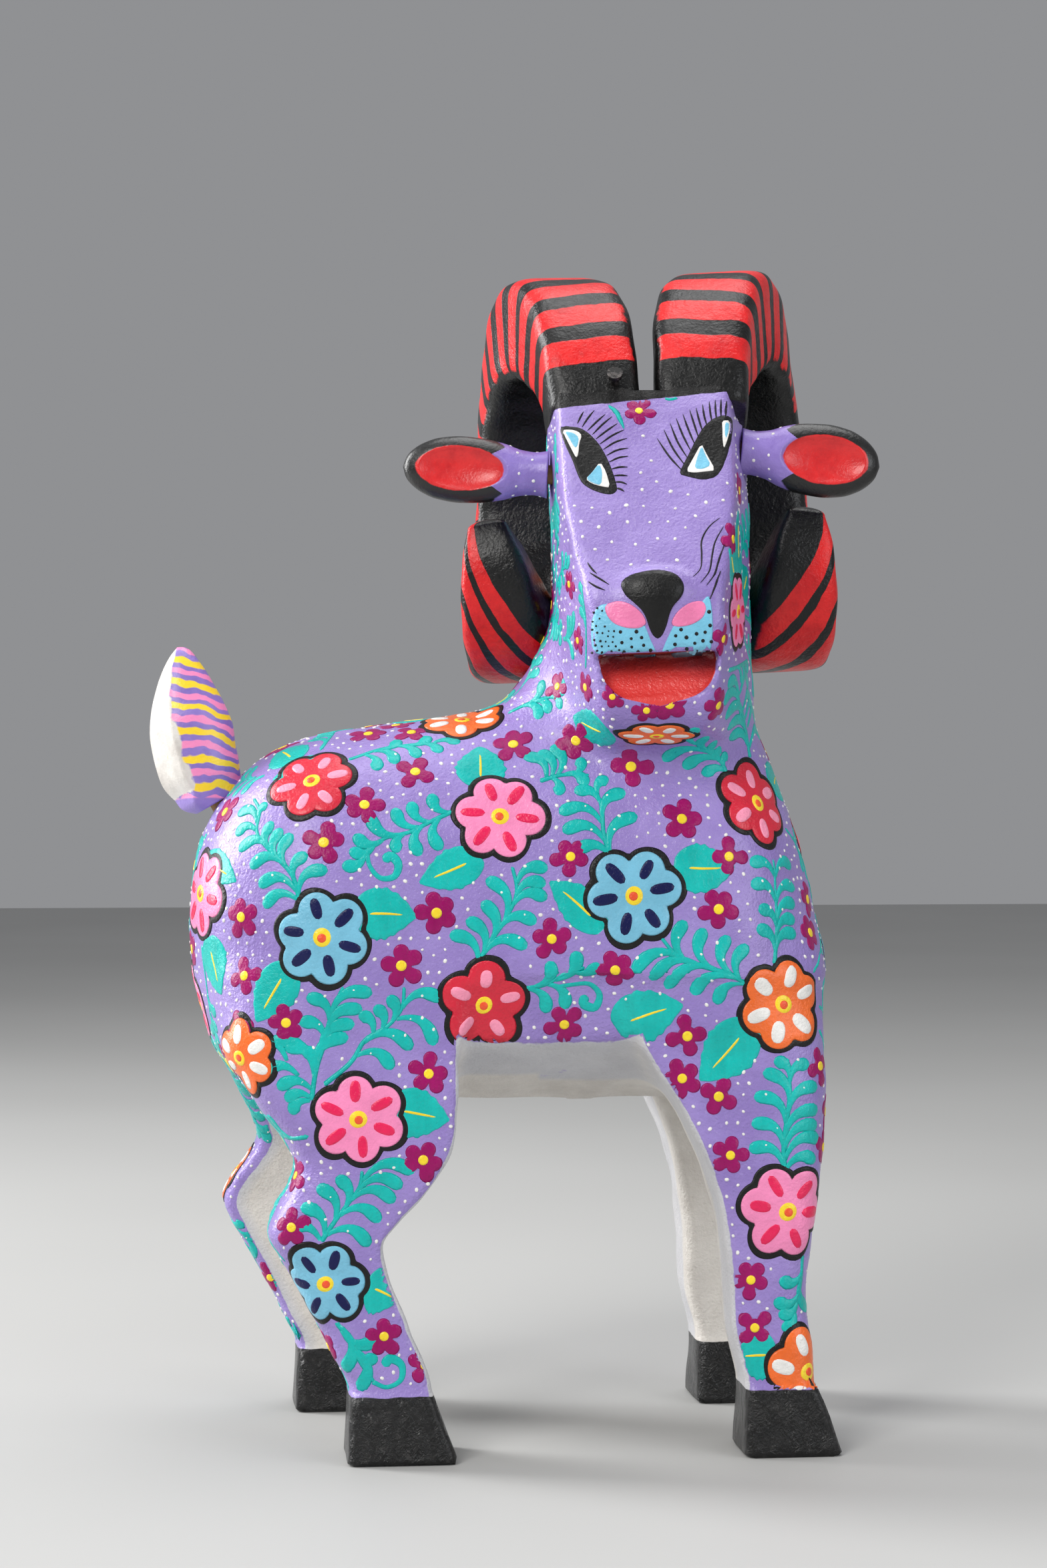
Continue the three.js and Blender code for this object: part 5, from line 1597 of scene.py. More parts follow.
near_frond(pts("C", [(530, 1210), (590, 1290), (630, 1370), (690, 1460)]),
           many("C", [(520, 1225, 555, 1400), (600, 1310, 615, 1480), (560, 1230, 700, 1275), (610, 1310, 700, 1350)]))
near_frond(pts("D", [(565, 600), (560, 480), (580, 330), (585, 220), (575, 120)]),
           many("D", [(550, 580, 420, 505), (555, 500, 430, 400), (560, 400, 440, 290), (560, 330, 475, 190), (580, 210, 520, 140),
                      (575, 590, 690, 550), (580, 550, 705, 460), (580, 470, 700, 345), (590, 380, 700, 250), (595, 220, 665, 155)]))
near_frond(pts("D", [(640, 930), (630, 1060), (600, 1190)]),
           many("D", [(630, 1000, 545, 1030), (620, 1080, 520, 1110), (605, 1160, 545, 1225), (640, 1010, 675, 1140)]))
for s, q in (("A", (865, 600, 880, 690, 940, 752, 1005, 740, 1022, 680, 985, 640, 945, 668)),
             ("B", (400, 1200, 470, 1188, 545, 1188, 582, 1232, 560, 1285, 515, 1268, 524, 1228)),
             ("C", (680, 1455, 740, 1478, 800, 1445, 800, 1385, 750, 1362, 728, 1395))):
    c = run(s, q)
    if all(p is not None for p in c):
        curl(c)
        MIR.append(("curl", c))

# the far side: the same hand, mirrored, with its own colours
KIND2 = {"red": "blue", "pink": "orange", "blue": "pink", "orange": "red"}


def across(p):
    q = np.array(p, float)
    q[1] = -q[1]
    q[0] += 2.0
    return q


for it in MIR:
    ref = it[1] if it[0] in ("big", "small", "leaf") else it[1][0]
    lim = 12 if it[0] == "big" else 7
    if ref[1] > -lim or ref[2] > 160:
        continue
    if it[0] == "big":
        big_flower(across(it[1]), KIND2[it[2]], it[3], it[4], it[5] + 40)
    elif it[0] == "small":
        small_flower(across(it[1]), it[2], it[3] + 60)
    elif it[0] == "leaf":
        leaf(across(it[1]), across(it[2]), it[3], it[4] + 30)
    elif it[0] == "frond":
        if all(p[1] < -4 and p[2] < 172 for p in it[1]):
            frond([across(p) for p in it[1]], [(across(a), across(b)) for a, b in it[2] if a[1] < -3 and b[1] < -3])
    elif it[0] == "curl":
        curl([across(p) for p in it[1]])

# ------------------------------------------------------------------- the face
class Drawn:
    """shapes drawn straight onto the face as seen from the front"""

    def __init__(self):
        self.items = {}

    def add(self, col, P, h, F):
        self.items.setdefault(col, []).append((P, h, F))


drawn = Drawn()
FACE_BLOCK = []


def seen(P2):
    out = []
    for x, y in P2:
        q = near_cast(560 + x / 1.96, 380 + y / 1.96, 14)
        if q is None:
            return None
        out.append(q)
    return np.array(out)


def soften(poly, n=2):
    P = np.asarray(poly, float)
    for _ in range(n):
        Q = np.roll(P, -1, 0)
        P = np.stack([0.78 * P + 0.22 * Q, 0.22 * P + 0.78 * Q], 1).reshape(-1, 2)
    return P


def patch(col, poly, lo, hi, rings=(0.3, 0.6, 0.8, 0.95), smooth=2, dome=0.1, block=True, n=72):
    P = soften(poly, smooth)
    c = P.mean(0)
    # even steps round the outline
    Q = np.concatenate([P, P[:1]])
    d = np.concatenate([[0], np.cumsum(np.linalg.norm(np.diff(Q, axis=0), axis=1))])
    s = np.linspace(0, d[-1], n, endpoint=False)
    R = np.stack([np.interp(s, d, Q[:, 0]), np.interp(s, d, Q[:, 1])], 1)
    pts_, hc = [c], [1.0]
    for q in tuple(rings) + (1.0,):
        pts_ += list(c + (R - c) * q)
        hc += [0.0 if q == 1 else 1 - dome * q * q] * n
    F = [(0, 1 + i, 1 + (i + 1) % n) for i in range(n)]
    m = len(rings) + 1
    for k in range(m - 1):
        b0, b1 = 1 + k * n, 1 + (k + 1) * n
        for i in range(n):
            j = (i + 1) % n
            F += [(b0 + i, b1 + i, b1 + j), (b0 + i, b1 + j, b0 + j)]
    rim = 1 + (m - 1) * n
    b = len(pts_)
    pts_ += list(c + (R - c) * 0.5)
    hc += [-1.0] * n
    pts_.append(c)
    hc.append(-1.0)
    for i in range(n):
        j = (i + 1) % n
        F += [(rim + i, b + j, rim + j), (rim + i, b + i, b + j), (b + n, b + j, b + i)]
    P3 = seen(pts_)
    if P3 is None:
        return
    hc = np.array(hc)
    drawn.add(col, P3, np.where(hc < 0, -0.28, lo + (hi - lo) * np.clip(hc, 0, 1)), F)
    if block:
        FACE_BLOCK.append(P3[1:1 + n * (m)])


def line(col, poly, w, lo=-0.05, hi=0.14, n=16, taper=(0.35, 1, 1, 0.25), block=True):
    S = curve2(poly, n)
    W = np.interp(np.linspace(0, 1, n), np.linspace(0, 1, len(taper)), taper) * w
    P, hc, F = ribbon(S, W, 3)
    P3 = seen(P)
    if P3 is None:
        return
    drawn.add(col, P3, lo + (hi - lo) * np.clip(hc, 0, 1), F)
    if block:
        FACE_BLOCK.append(P3)


# left eye
patch("black", [(541, 507), (572, 505), (604, 508), (634, 527), (664, 560), (688, 604), (705, 648), (718, 696), (700, 709), (672, 706),
                (638, 694), (610, 675), (596, 646), (582, 606), (560, 560)], -0.05, 0.12, smooth=1)
patch("white", [(553, 518), (578, 516), (600, 522), (611, 534), (603, 556), (600, 590), (594, 602), (580, 575), (565, 545)], 0.08, 0.2, smooth=1, block=False)
patch("sky", [(560, 522), (585, 526), (602, 540), (598, 566), (590, 572), (574, 545)], 0.16, 0.27, smooth=1, block=False)
patch("white", [(664, 610), (682, 640), (695, 688), (668, 684), (640, 676), (620, 662), (640, 642)], 0.08, 0.2, smooth=1, block=False)
patch("sky", [(661, 616), (671, 640), (668, 682), (640, 674), (622, 661), (640, 643)], 0.16, 0.27, smooth=1, block=False)
for p in ([(597, 499), (606, 480), (616, 462)], [(610, 510), (630, 480), (648, 458)], [(626, 520), (655, 492), (680, 470)],
          [(640, 532), (672, 500), (700, 477)], [(650, 545), (688, 516), (716, 497)], [(661, 560), (702, 532), (736, 516)],
          [(671, 576), (708, 553), (745, 541)], [(681, 593), (715, 576), (748, 570)], [(689, 612), (720, 598), (748, 594)],
          [(696, 632), (722, 626), (746, 626)], [(701, 652), (724, 650), (746, 652)], [(705, 670), (725, 670), (744, 677)],
          [(708, 688), (722, 690), (736, 698)]):
    line("black", p, 3.7, hi=0.2)
# right eye
patch("black", [(1054, 479), (1020, 472), (992, 484), (966, 508), (945, 543), (925, 584), (906, 620), (893, 648), (925, 657), (965, 666),
                (1005, 657), (1024, 630), (1037, 592), (1049, 552), (1055, 515)], -0.05, 0.12, smooth=1)
patch("white", [(1021, 491), (1043, 489), (1044, 520), (1036, 552), (1027, 574), (1023, 545), (1023, 515)], 0.08, 0.2, smooth=1, block=False)
patch("sky", [(1030, 496), (1040, 497), (1040, 520), (1033, 545), (1029, 530)], 0.16, 0.27, smooth=1, block=False)
patch("white", [(961, 556), (975, 585), (1004, 637), (975, 640), (940, 644), (915, 640), (938, 598)], 0.08, 0.2, smooth=1, block=False)
patch("sky", [(962, 563), (973, 592), (990, 622), (966, 634), (940, 632), (948, 600)], 0.16, 0.27, smooth=1, block=False)
for p in ([(908, 640), (868, 596), (830, 540)], [(914, 622), (880, 575), (850, 514)], [(922, 602), (893, 555), (868, 494)],
          [(932, 582), (908, 535), (886, 480)], [(943, 562), (924, 518), (906, 468)], [(954, 543), (940, 500), (926, 456)],
          [(966, 525), (955, 490), (945, 450)], [(979, 509), (970, 478), (964, 440)], [(993, 497), (988, 470), (984, 432)],
          [(1006, 489), (1003, 462), (1002, 428)], [(1019, 482), (1018, 458), (1019, 426)], [(1033, 480), (1033, 458), (1035, 432)]):
    line("black", p, 3.7, hi=0.2)
# nose, cheeks and muzzle
patch("sky", [(640, 1172), (634, 1120), (640, 1068), (655, 1032), (690, 1024), (740, 1034), (780, 1062), (800, 1098), (812, 1130),
              (829, 1166), (836, 1179), (780, 1184), (710, 1182)], -0.05, 0.12, (0.2, 0.4, 0.6, 0.8, 0.95))
patch("sky", [(840, 1179), (851, 1150), (868, 1112), (885, 1080), (930, 1050), (962, 1022), (984, 996), (993, 1040), (996, 1100),
              (992, 1150), (982, 1174), (930, 1180), (880, 1182)], -0.05, 0.12, (0.2, 0.4, 0.6, 0.8, 0.95))
patch("cheek", [(676, 1030), (718, 1017), (756, 1028), (786, 1052), (803, 1084), (782, 1100), (742, 1100), (702, 1086), (680, 1058)], 0.06, 0.26)
patch("cheek", [(873, 1078), (892, 1047), (928, 1022), (966, 1017), (978, 1040), (966, 1070), (932, 1090), (896, 1096), (876, 1092)], 0.06, 0.26)
patch("black", [(722, 975), (728, 956), (755, 940), (792, 931), (830, 926), (866, 930), (892, 942), (909, 963), (912, 990), (900, 1012),
                (880, 1032), (868, 1058), (860, 1092), (848, 1120), (835, 1133), (820, 1124), (808, 1100), (800, 1072), (788, 1048),
                (765, 1026), (738, 1004)], -0.05, 0.3, (0.2, 0.4, 0.6, 0.8, 0.95), dome=0.3)
for p in ([(1018, 773), (985, 800), (962, 842), (962, 885), (958, 925), (935, 950)], [(1026, 800), (1000, 850), (992, 890), (985, 930), (957, 968)],
          [(1030, 850), (1012, 900), (1000, 940), (975, 975)], [(1018, 930), (1005, 965), (992, 1000), (985, 1015)]):
    line("black", p, 3.3, hi=0.2, n=24)
for p in ([(632, 935), (665, 955), (692, 972)], [(628, 962), (655, 978), (680, 988)], [(626, 905), (640, 925), (655, 940)]):
    line("black", p, 3.5, hi=0.2)
grng = np.random.default_rng(4)
pts2 = []
for k in range(4000):
    x, y = grng.uniform(640, 992), grng.uniform(1040, 1178)
    left = x < 836
    if left and (x - 740) ** 2 / 70 ** 2 + (y - 1060) ** 2 / 50 ** 2 < 1:
        continue
    if not left and (x - 925) ** 2 / 58 ** 2 + (y - 1055) ** 2 / 50 ** 2 < 1:
        continue
    if abs(x - 836) < 16 + (1182 - y) * 0.42 or y > 1172:
        continue
    if x > 975 and y < 1020:
        continue
    gap = 15 if x < 720 else 23
    if all((x - a) ** 2 + (y - b) ** 2 > gap ** 2 for a, b in pts2):
        pts2.append((x, y))
for x, y in pts2:
    r = (3.6 if x < 720 else 6.4) * grng.uniform(0.8, 1.15)
    a = np.linspace(0, 2 * math.pi, 10, endpoint=False)
    patch("black", np.stack([x + r * np.cos(a), y + r * np.sin(a)], 1), 0.05, 0.24, (0.6,), 0, block=False, n=10)
# the flower and touches on the brow, and the ones down the sides of the head
for k, (x, y, r) in enumerate(((778, 462, 3.9), (868, 1322, 4.6), (622, 1272, 3.9), (540, 1270, 3.9), (1024, 1130, 3.9), (1010, 1325, 4.2),
                               (1096, 505, 4.2), (1070, 695, 4.2), (1052, 838, 4.2), (700, 1300, 3.0), (800, 1340, 3.4), (575, 970, 3.6),
                               (600, 1135, 3.4))):
    p = at("H", x, y)
    if p is not None:
        small_flower(p, r, 60 + k)
        FACE_BLOCK.append(np.array([p]))
line("teal", [(686, 445), (708, 460), (722, 485), (735, 515)], 9, n=14, taper=(0.5, 1, 1, 0.3))
line("teal", [(838, 418), (870, 425), (915, 408)], 9, n=14, taper=(0.4, 1, 1, 0.5))
p = at("H", 1066, 1050)
if p is not None:
    big_flower(p, "pink", 8.2, 6, 91)
a, b = at("H", 1060, 960), at("H", 1040, 865)
if a is not None and b is not None:
    leaf(a, b, 4.2, 92)

for P in FACE_BLOCK:
    for q in P[::3]:
        occupy(q, 1.6)


# ------------------------------------------- everything the hand fills in between
def face_zone(P, N):
    """the bare front of the face, which carries dots only"""
    u, v, w = body_to_head(P[:, 0], P[:, 1], P[:, 2])
    f = head_dir(0, -1, 0)
    return (w > 150) & (w < 240) & (N @ f > 0.45) & (v < -8) & (np.abs(u) < 24) & (P[:, 2] > 170)


pick_rng = np.random.default_rng(7)
sel = pick_rng.permutation(len(BP))[:60000]
CP, CN = settle(BP[sel], 1)
ok = (masks(CP) < -0.6) & (CP[:, 2] > 17)
CP, CN = CP[ok], CN[ok]
MK = masks(CP)
FZ = face_zone(CP, CN)
HEADCAST = CP[:, 2] > 168


def spread(mask, r, limit, gap=0.0, mk=None):
    """random places of the mask that are free, one at a time"""
    idx = np.nonzero(mask & (MK < -(mk if mk is not None else 0)))[0]
    out = []
    for i in idx:
        if len(out) >= limit:
            break
        p = CP[i]
        if free(p, r) and seat_gap(p, r + gap):
            if p[2] > 195 and not hornfree(p, 1.2):
                continue
            yield i
            out.append(i)


# dots on the bare face, then nothing else there
DOTS = []
for i in spread(FZ & (MK < -2), 1.2, 150, -3.0, 0.5):
    occupy(CP[i], 2.5)
    DOTS.append(i)
last = []
for i in np.nonzero(FZ)[0]:
    if all(np.linalg.norm(CP[i] - q) > 3 for q in last):
        last.append(CP[i])
        occupy(CP[i], 2.0)
FRONT_W = body_to_head(CP[:, 0], CP[:, 1], CP[:, 2])
HEADFRONT = (FRONT_W[2] > 150) & (FRONT_W[1] < -4) & (CP[:, 2] > 165)
KINDS = ["red", "pink", "blue", "orange"]
nb = 0
for i in spread(~FZ & ~HEADFRONT, 19.0, 40, -8.0, 7.5):
    big_flower(CP[i], KINDS[(nb * 3 + nb // 4) % 4], 8.6 + 0.9 * pick_rng.uniform(), 6 if nb % 4 else 5, 100 + nb)
    nb += 1


def step_on(fr, ab):
    """rough place on the skin of points of a flat frame"""
    q = fr[0] + np.outer(ab[:, 0], fr[1]) + np.outer(ab[:, 1], fr[2])
    q = np.array([BODY_TREE.find_nearest(Vector(v))[0] for v in q])
    return q, None


def try_leaf(fr, r, ang, L, w, seed):
    c, s = math.cos(ang), math.sin(ang)
    ks = np.array([r + 3.2, r + L * 0.5 + 1, r + L])
    q, n = step_on(fr, np.stack([c * ks, s * ks], 1))
    if masks(q).max() > -1.5 or not all(free(a, b) for a, b in zip(q, (w * 0.35, w * 0.62, 1.0))) or not all(seat_gap(a, 3) for a in q):
        return False
    b, _ = step_on(fr, np.array([[c * (r - 0.5), s * (r - 0.5)]]))
    leaf(b[0], q[2], w, seed)
    return True


def sprig(fr, start, ang, L, seed, size=1.0, need=5, hook=0.0):
    """a frond grown from a flat frame; keeps only leaflets that find room"""
    g = np.random.default_rng(seed)
    bend = g.uniform(-0.9, 0.9) + hook
    t = np.linspace(0, 1, 22)
    a = ang + bend * (t - 0.2)
    d = np.stack([np.cos(a), np.sin(a)], 1) * (L / 21)
    S = start + np.concatenate([[[0, 0]], np.cumsum(d[:-1], axis=0)])
    want = []
    k = 0
    pos = 0.16
    while pos < 0.99:
        i = min(int(pos * 21), 20)
        sd = 1 if k % 2 == 0 else -1
        ll = size * (8.4 - 3.6 * pos) * g.uniform(0.88, 1.08)
        th = a[i] + sd * (0.98 - 0.25 * pos)
        want.append((i, sd, S[i], S[i] + ll * np.array([math.cos(th), math.sin(th)])))
        pos += 0.5 * size * 3.9 / L
        k += 1
    tips = np.array([w_[3] for w_ in want])
    mids = np.array([0.45 * w_[2] + 0.55 * w_[3] for w_ in want])
    near = np.array([0.22 * w_[2] + 0.78 * w_[3] for w_ in want])
    Q, _ = step_on(fr, np.concatenate([S[[4, 8, 12, 16, 20]], tips, mids, near, S[[2, 6, 10, 14, 18]]]))
    m = masks(Q)
    for q, mm in zip(Q[:5], m[:5]):
        if mm > -0.8 or not free(q, 0.9) or not seat_gap(q, 1):
            return False
    n = len(want)
    good = []
    for j in range(n):
        tq, mq = Q[5 + j], Q[5 + n + j]
        if m[5 + j] < -0.9 and free(tq, 1.6) and free(mq, 0.95) and seat_gap(tq, 1.6):
            good.append(j)
    if len(good) < need:
        return False
    W = np.linspace(0.80, 0.55, 22)
    W[0], W[-1] = 0.3, 0.2
    coat.add("teal", fr, ribbon(S, W, 3), -0.05, 0.13)
    for j in good:
        i, sd, u, v = want[j]
        T = S[min(i + 1, 21)] - S[max(i - 1, 0)]
        dd = v - u
        bd = 0.26 if T[0] * -dd[1] + T[1] * dd[0] > 0 else -0.26
        coat.add("teal", fr, comma(u, v, bd * 2.0, 1.72 * size), -0.05, 0.17)
        occupy(Q[5 + j], 1.25)
        occupy(Q[5 + n + j], 1.0)
        occupy(Q[5 + 2 * n + j], 1.35)
    for q in list(Q[:5]) + list(Q[-5:]):
        occupy(q, 0.9)
    return True


# leaves and fronds spring from the flowers
ns = 0
for f, (fr, r, kind) in enumerate(list(BIGS)):
    g = np.random.default_rng(300 + f)
    a0 = g.uniform(0, 6.28)
    got = 0
    for k in range(8):
        ang = a0 + k * 2.4
        if try_leaf(fr, r + 0.6, ang, 12.5 + 2 * g.uniform(), 4.9 + 0.8 * g.uniform(), f * 9 + k):
            got += 1
            if got == 2:
                break
    for L in (30, 23, 17):
        for k in range(14):
            ang = a0 + k * 0.449 + L * 0.1
            st = np.array([math.cos(ang), math.sin(ang)]) * (r + 1.0)
            if sprig(fr, st, ang, L, f * 77 + k + L * 1000, 1.0 if L > 18 else 0.9, 6 if L > 25 else 4):
                ns += 1

for i in spread(~FZ & ~HEADFRONT, 4.1, 130, 1.0, 3.2):
    small_flower(CP[i], 4.5 + 0.6 * pick_rng.uniform(), 400 + i)

# small free sprigs in what is still bare
nf = 0
for i in spread(~FZ, 2.4, 900, 1.0, 2.0):
    if nf > 300:
        break
    g = np.random.default_rng(9000 + i)
    fr = frame_at(CP[i], ang=g.uniform(0, 6.28))
    L = g.choice([20, 15, 11])
    for k in range(5):
        if sprig(fr, np.array([-L * 0.5, 0.0]), g.uniform(-0.3, 0.3) + k * 1.25 if k else 0.0, L, 5000 + i * 5 + k, 0.85, 3):
            nf += 1
            break

# white dots
nd = 0
for i in spread(~FZ, 0.85, 4200, -3.0, 0.5):
    p = CP[i]
    occupy(p, 1.42)
    DOTS.append(i)


def dot_frame(i):
    n = CN[i]
    t = np.cross(n, [0.31, 0.2, 0.93])
    t /= np.linalg.norm(t)
    return CP[i], t, np.cross(n, t), n


FACE_KEEP = []

# ------------------------------------------------------- laying the strokes down
def walk(P0, E1, E2, ab, K):
    """from each frame's middle along the skin by (a, b)"""
    L = np.linalg.norm(ab, axis=1)
    u = (E1 * ab[:, :1] + E2 * ab[:, 1:]) / np.maximum(L, 1e-9)[:, None]
    p = P0.copy()
    for k in range(K):
        p = p + u * (L / K)[:, None]
        f, g = gradient(p)
        g2 = np.maximum((g * g).sum(1), 0.05)
        p = p - g * np.clip(f / g2, -2.5, 2.5)[:, None]
        n = g / np.sqrt(g2)[:, None]
        u = u - n * (u * n).sum(1)[:, None]
        u /= np.maximum(np.linalg.norm(u, axis=1, keepdims=True), 1e-9)
    return settle(p, 1)


def lay():
    out = {}
    for col, items in coat.items.items():
        for big in (True, False):
            its = [i for i in items if i[4] == big]
            if not its:
                continue
            cnt = [len(i[1]) for i in its]
            P0 = np.repeat(np.array([i[0][0] for i in its]), cnt, 0)
            E1 = np.repeat(np.array([i[0][1] for i in its]), cnt, 0)
            E2 = np.repeat(np.array([i[0][2] for i in its]), cnt, 0)
            ab = np.concatenate([i[1] for i in its])
            h = np.concatenate([i[2] for i in its])
            p, n = walk(P0, E1, E2, ab, 5 if big else 1)
            out.setdefault(col, []).append((p, n, h, cnt, [i[3] for i in its]))
    for col, items in drawn.items.items():
        cnt = [len(i[0]) for i in items]
        p, n = settle(np.concatenate([i[0] for i in items]), 2)
        h = np.concatenate([i[1] for i in items])
        out.setdefault(col, []).append((p, n, h, cnt, [i[2] for i in items]))
    return out


for i in DOTS:
    fr = dot_frame(i)
    g = np.random.default_rng(i)
    r = 0.47 * g.uniform(0.75, 1.2)
    q = g.uniform(0, 3.14)
    coat.add("white", fr, fan(lambda a, r=r, q=q: r * (1 + 0.12 * np.cos(2 * (a - q))), (0.6,), 9, dome=0.25), -0.05, 0.17, big=False, under=-0.2)

LAID = lay()


def write_coat(name, packs, mat, split=1):
    Vs, Fs = [], []
    base = 0
    for p, n, h, cnt, faces in packs:
        m = masks(p)
        clip = m > -0.05
        h = np.where(clip, np.minimum(h - 0.62, -0.55), h)
        pos = p + n * h[:, None]
        o = 0
        near = np.zeros(len(p), bool)
        for e in EARS.values():
            near |= np.linalg.norm(p - e["root"], axis=1) < 6.9
        near |= np.linalg.norm(p - TAIL_ROOT, axis=1) < 7.9
        for c, F in zip(cnt, faces):
            sl = slice(o, o + c)
            o += c
            if clip[sl].all() or near[sl].any():
                continue
            F = np.asarray(F)
            Vs.append(pos[sl])
            Fs.append(F + base)
            base += c
    if not Vs:
        return []
    V = np.concatenate(Vs)
    F = np.concatenate(Fs)
    obs = []
    # the near and the far side are separate pieces of the coat when it is large
    parts = [(F, "")] if split == 1 else None
    if parts is None:
        cuts = np.quantile(V[F[:, 0], 2], np.linspace(0, 1, split + 1))
        # whole strokes stay together: use each stroke's first point
        sid = np.concatenate([np.full(len(f), V[v0, 2]) for f, v0 in zip(Fs, np.cumsum([0] + [len(v) for v in Vs[:-1]]))])
        parts = []
        for k in range(split):
            lo, hi = cuts[k] if k else -1e9, cuts[k + 1] if k < split - 1 else 1e9
            parts.append((F[(sid >= lo) & (sid < hi)], "_%d" % (k + 1)))
    for Fk, suf in parts:
        used = np.unique(Fk)
        re = np.full(len(V), -1)
        re[used] = np.arange(len(used))
        ob = make_mesh(name + suf, to_row(V[used]), re[Fk])
        bm = bmesh.new()
        bm.from_mesh(ob.data)
        bmesh.ops.recalc_face_normals(bm, faces=bm.faces)
        bm.to_mesh(ob.data)
        bm.free()
        ob.data.materials.append(mat)
        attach(ob, ROOT)
        obs.append(ob)
    return obs


COLS = {
    "teal": (0, 186, 178), "black": (9, 9, 9), "white": (238, 236, 232), "magenta": (154, 0, 96), "yellow": (250, 218, 40),
    "ember": (240, 84, 40), "red_petal": (212, 26, 54), "pink_petal": (246, 140, 188), "blue_petal": (118, 188, 216),
    "orange_petal": (243, 108, 34), "pink_stroke": (250, 150, 180), "crimson": (232, 12, 84), "navy": (14, 20, 74),
    "sky": (120, 196, 226), "cheek": (240, 128, 176)}
total = 0
for col, packs in LAID.items():
    mat = paint("paint_" + col, srgb(*COLS[col]), 0.33 if col != "black" else 0.42, 0.10, 0.75, {"black": 0.08, "teal": 0.14, "magenta": 0.10, "navy": 0.08}.get(col, 0.22), 0.25 if col in ("teal", "magenta") else 0.0,
                {"black": 0.3, "teal": 0.3, "magenta": 0.24, "navy": 0.22}.get(col, 0.42))
    obs = write_coat("paint_" + col, packs, mat, 3 if col == "teal" else 1)
    for o in obs:
        total += len(o.data.polygons)
        print("coat", o.name, len(o.data.vertices), len(o.data.polygons))
print("coat faces", total, "bigs", len(BIGS), "smalls", len(SMALLS), "sprigs", ns, nf, "dots", len(DOTS))

# white dots on the ears, riding with them
WHITE_M = bpy.data.materials["paint_white"]
for tag, e in EARS.items():
    g = np.random.default_rng(5)
    Vs, Fs, base, put = [], [], 0, []
    for k in range(900):
        s, b = g.uniform(1.5, 26), g.uniform(0, 2 * math.pi)
        sh = ear_surface(e, np.array([s]), np.array([b]))
        rim = math.sqrt(((s - 21.5) / 13.8) ** 2 + (sh[2][0] / (9.5 * e["tall"])) ** 2)
        if sh[3][0] < 1.2 and rim < 1.08:
            continue
        c = sh[0][0]
        if any(np.linalg.norm(c - q) < 2.7 for q in put):
            continue
        put.append(c)
        r = 0.42 * g.uniform(0.75, 1.2)
        a = np.linspace(0, 2 * math.pi, 9, endpoint=False)
        hloc = math.hypot(sh[2][0], sh[3][0])
        rows, hs = [(0, 0, 0.15)], None
        rows += [(0.6 * r * math.cos(q), 0.6 * r * math.sin(q), 0.12) for q in a]
        rows += [(r * math.cos(q), r * math.sin(q), -0.05) for q in a]
        rows += [(0, 0, -0.2)]
        R = np.array(rows)
        P, _, _, _ = ear_surface(e, s + R[:, 0], b + R[:, 1] / hloc, R[:, 2])
        F = [(0, 1 + i, 1 + (i + 1) % 9) for i in range(9)]
        for i in range(9):
            j = (i + 1) % 9
            F += [(1 + i, 10 + i, 10 + j), (1 + i, 10 + j, 1 + j), (19, 10 + j, 10 + i)]
        Vs.append(P)
        Fs.append(np.array(F) + base)
        base += len(P)
    ob = make_mesh("ear_%s_dots" % tag, to_row(np.concatenate(Vs)), np.concatenate(Fs))
    bm = bmesh.new()
    bm.from_mesh(ob.data)
    bmesh.ops.recalc_face_normals(bm, faces=bm.faces)
    bm.to_mesh(ob.data)
    bm.free()
    ob.data.materials.append(WHITE_M)
    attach(ob, "ear_%s_leaf" % tag)


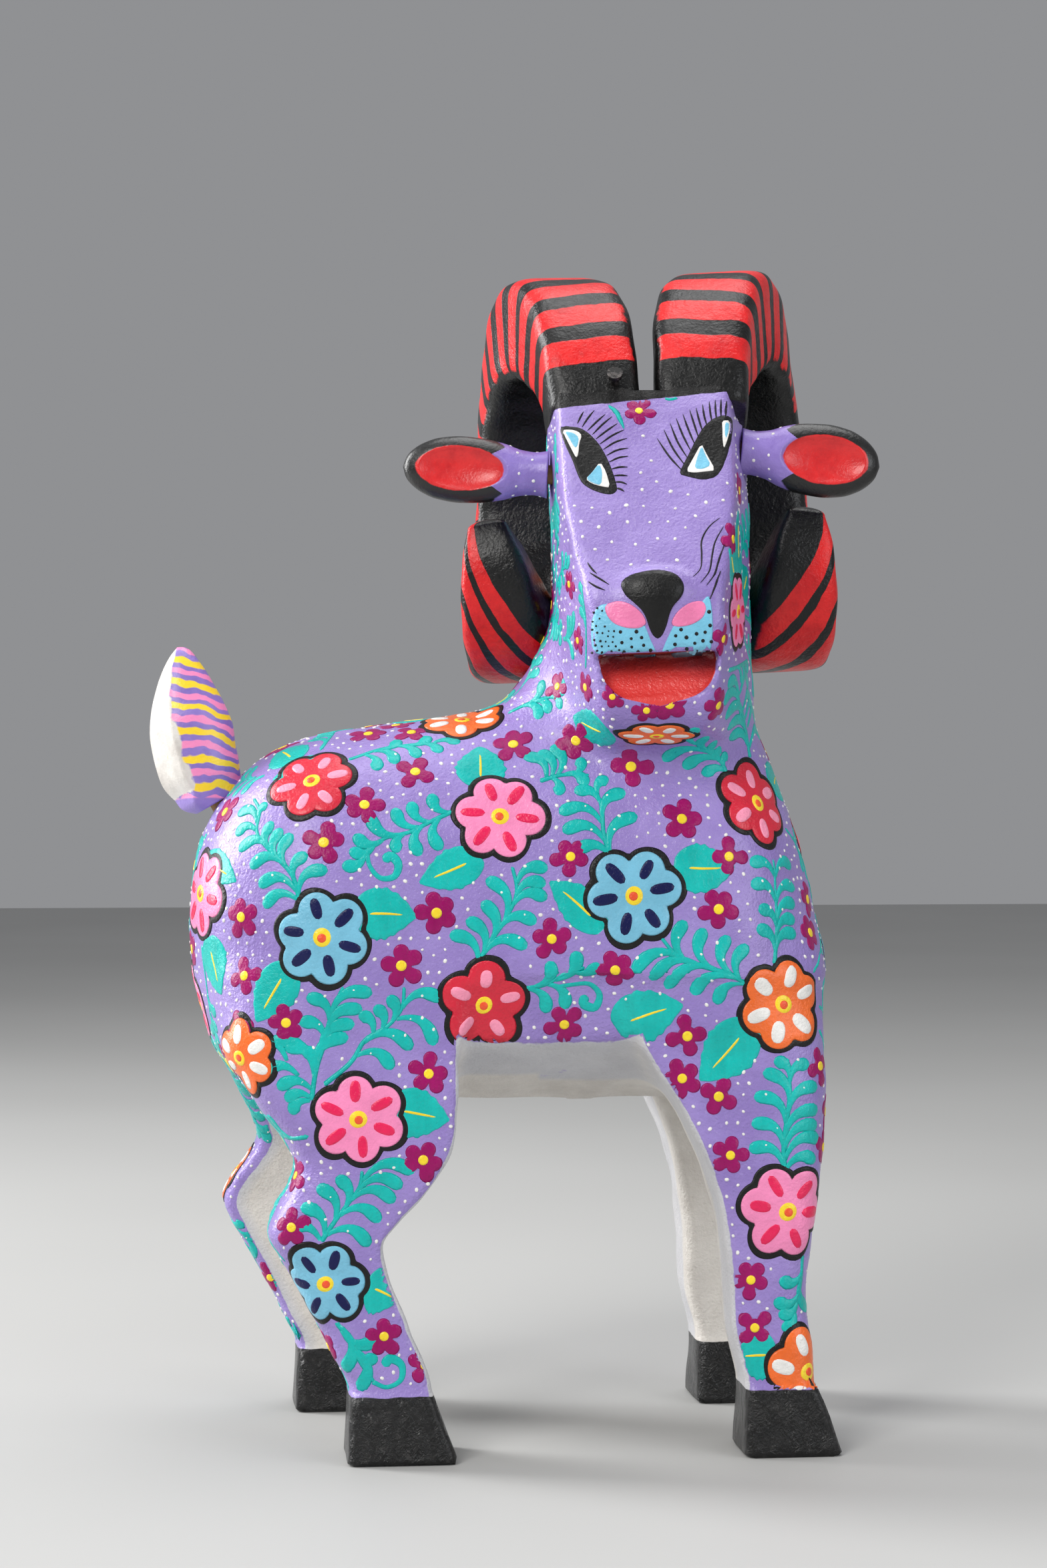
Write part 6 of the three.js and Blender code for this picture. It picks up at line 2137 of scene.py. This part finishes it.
# ------------------------------------------------------- floor, light, camera
def floor():
    me = bpy.data.meshes.new("floor")
    bm = bmesh.new()
    bmesh.ops.create_grid(bm, x_segments=2, y_segments=2, size=3.0)
    bm.to_mesh(me)
    bm.free()
    ob = bpy.data.objects.new("floor", me)
    bpy.context.scene.collection.objects.link(ob)
    ob.location = (0, 0, 0)
    m = Mat("floor_pale")
    c = m.mix(m.ramp(m.noise(3, 2, 0.5), 0.3, 0.7), (0.47, 0.47, 0.46, 1), (0.50, 0.50, 0.49, 1))
    ob.data.materials.append(m.done(c, 0.55, spec=0.35))


floor()
w = bpy.data.worlds.new("studio")
bpy.context.scene.world = w
w.use_nodes = True
w.node_tree.nodes["Background"].inputs[0].default_value = (0.82, 0.83, 0.86, 1)
w.node_tree.nodes["Background"].inputs[1].default_value = 0.34


def area(name, loc, target, size, power, col=(1, 1, 1)):
    l = bpy.data.lights.new(name, "AREA")
    l.shape = "RECTANGLE"
    l.size, l.size_y = size
    l.energy = power
    l.color = col
    o = bpy.data.objects.new(name, l)
    bpy.context.scene.collection.objects.link(o)
    o.location = loc
    o.rotation_euler = (Vector(target) - Vector(loc)).to_track_quat("-Z", "Y").to_euler()
    return o


area("key", (-0.75, -0.95, 0.95), (0, 0, 0.13), (0.55, 0.75), 13.5, (1, 0.985, 0.96))
area("fill", (0.95, -0.9, 0.45), (0, 0, 0.14), (0.7, 0.7), 5, (0.95, 0.97, 1))
area("rim_left", (-0.85, 0.35, 0.55), (0, 0, 0.15), (0.3, 0.8), 12)
area("top", (0.1, 0.1, 1.1), (0, 0, 0.15), (0.7, 0.7), 5)

# the drawing's camera: level, 149 mm above the floor
cam_d = bpy.data.cameras.new("camera")
cam = bpy.data.objects.new("camera", cam_d)
bpy.context.scene.collection.objects.link(cam)
cam.location = Vector(to_row([-85.5, -704.4, 149.0]))
fwd = Vector((math.sin(math.radians(6)), math.cos(math.radians(6)), 0))
cam.rotation_euler = fwd.to_track_quat("-Z", "Y").to_euler()
cam_d.sensor_fit = "VERTICAL"
cam_d.sensor_height = 36
cam_d.lens = 4570 / 2348 * 36
cam_d.clip_start = 0.01
bpy.context.scene.camera = cam
bpy.context.scene.view_settings.view_transform = "Standard"
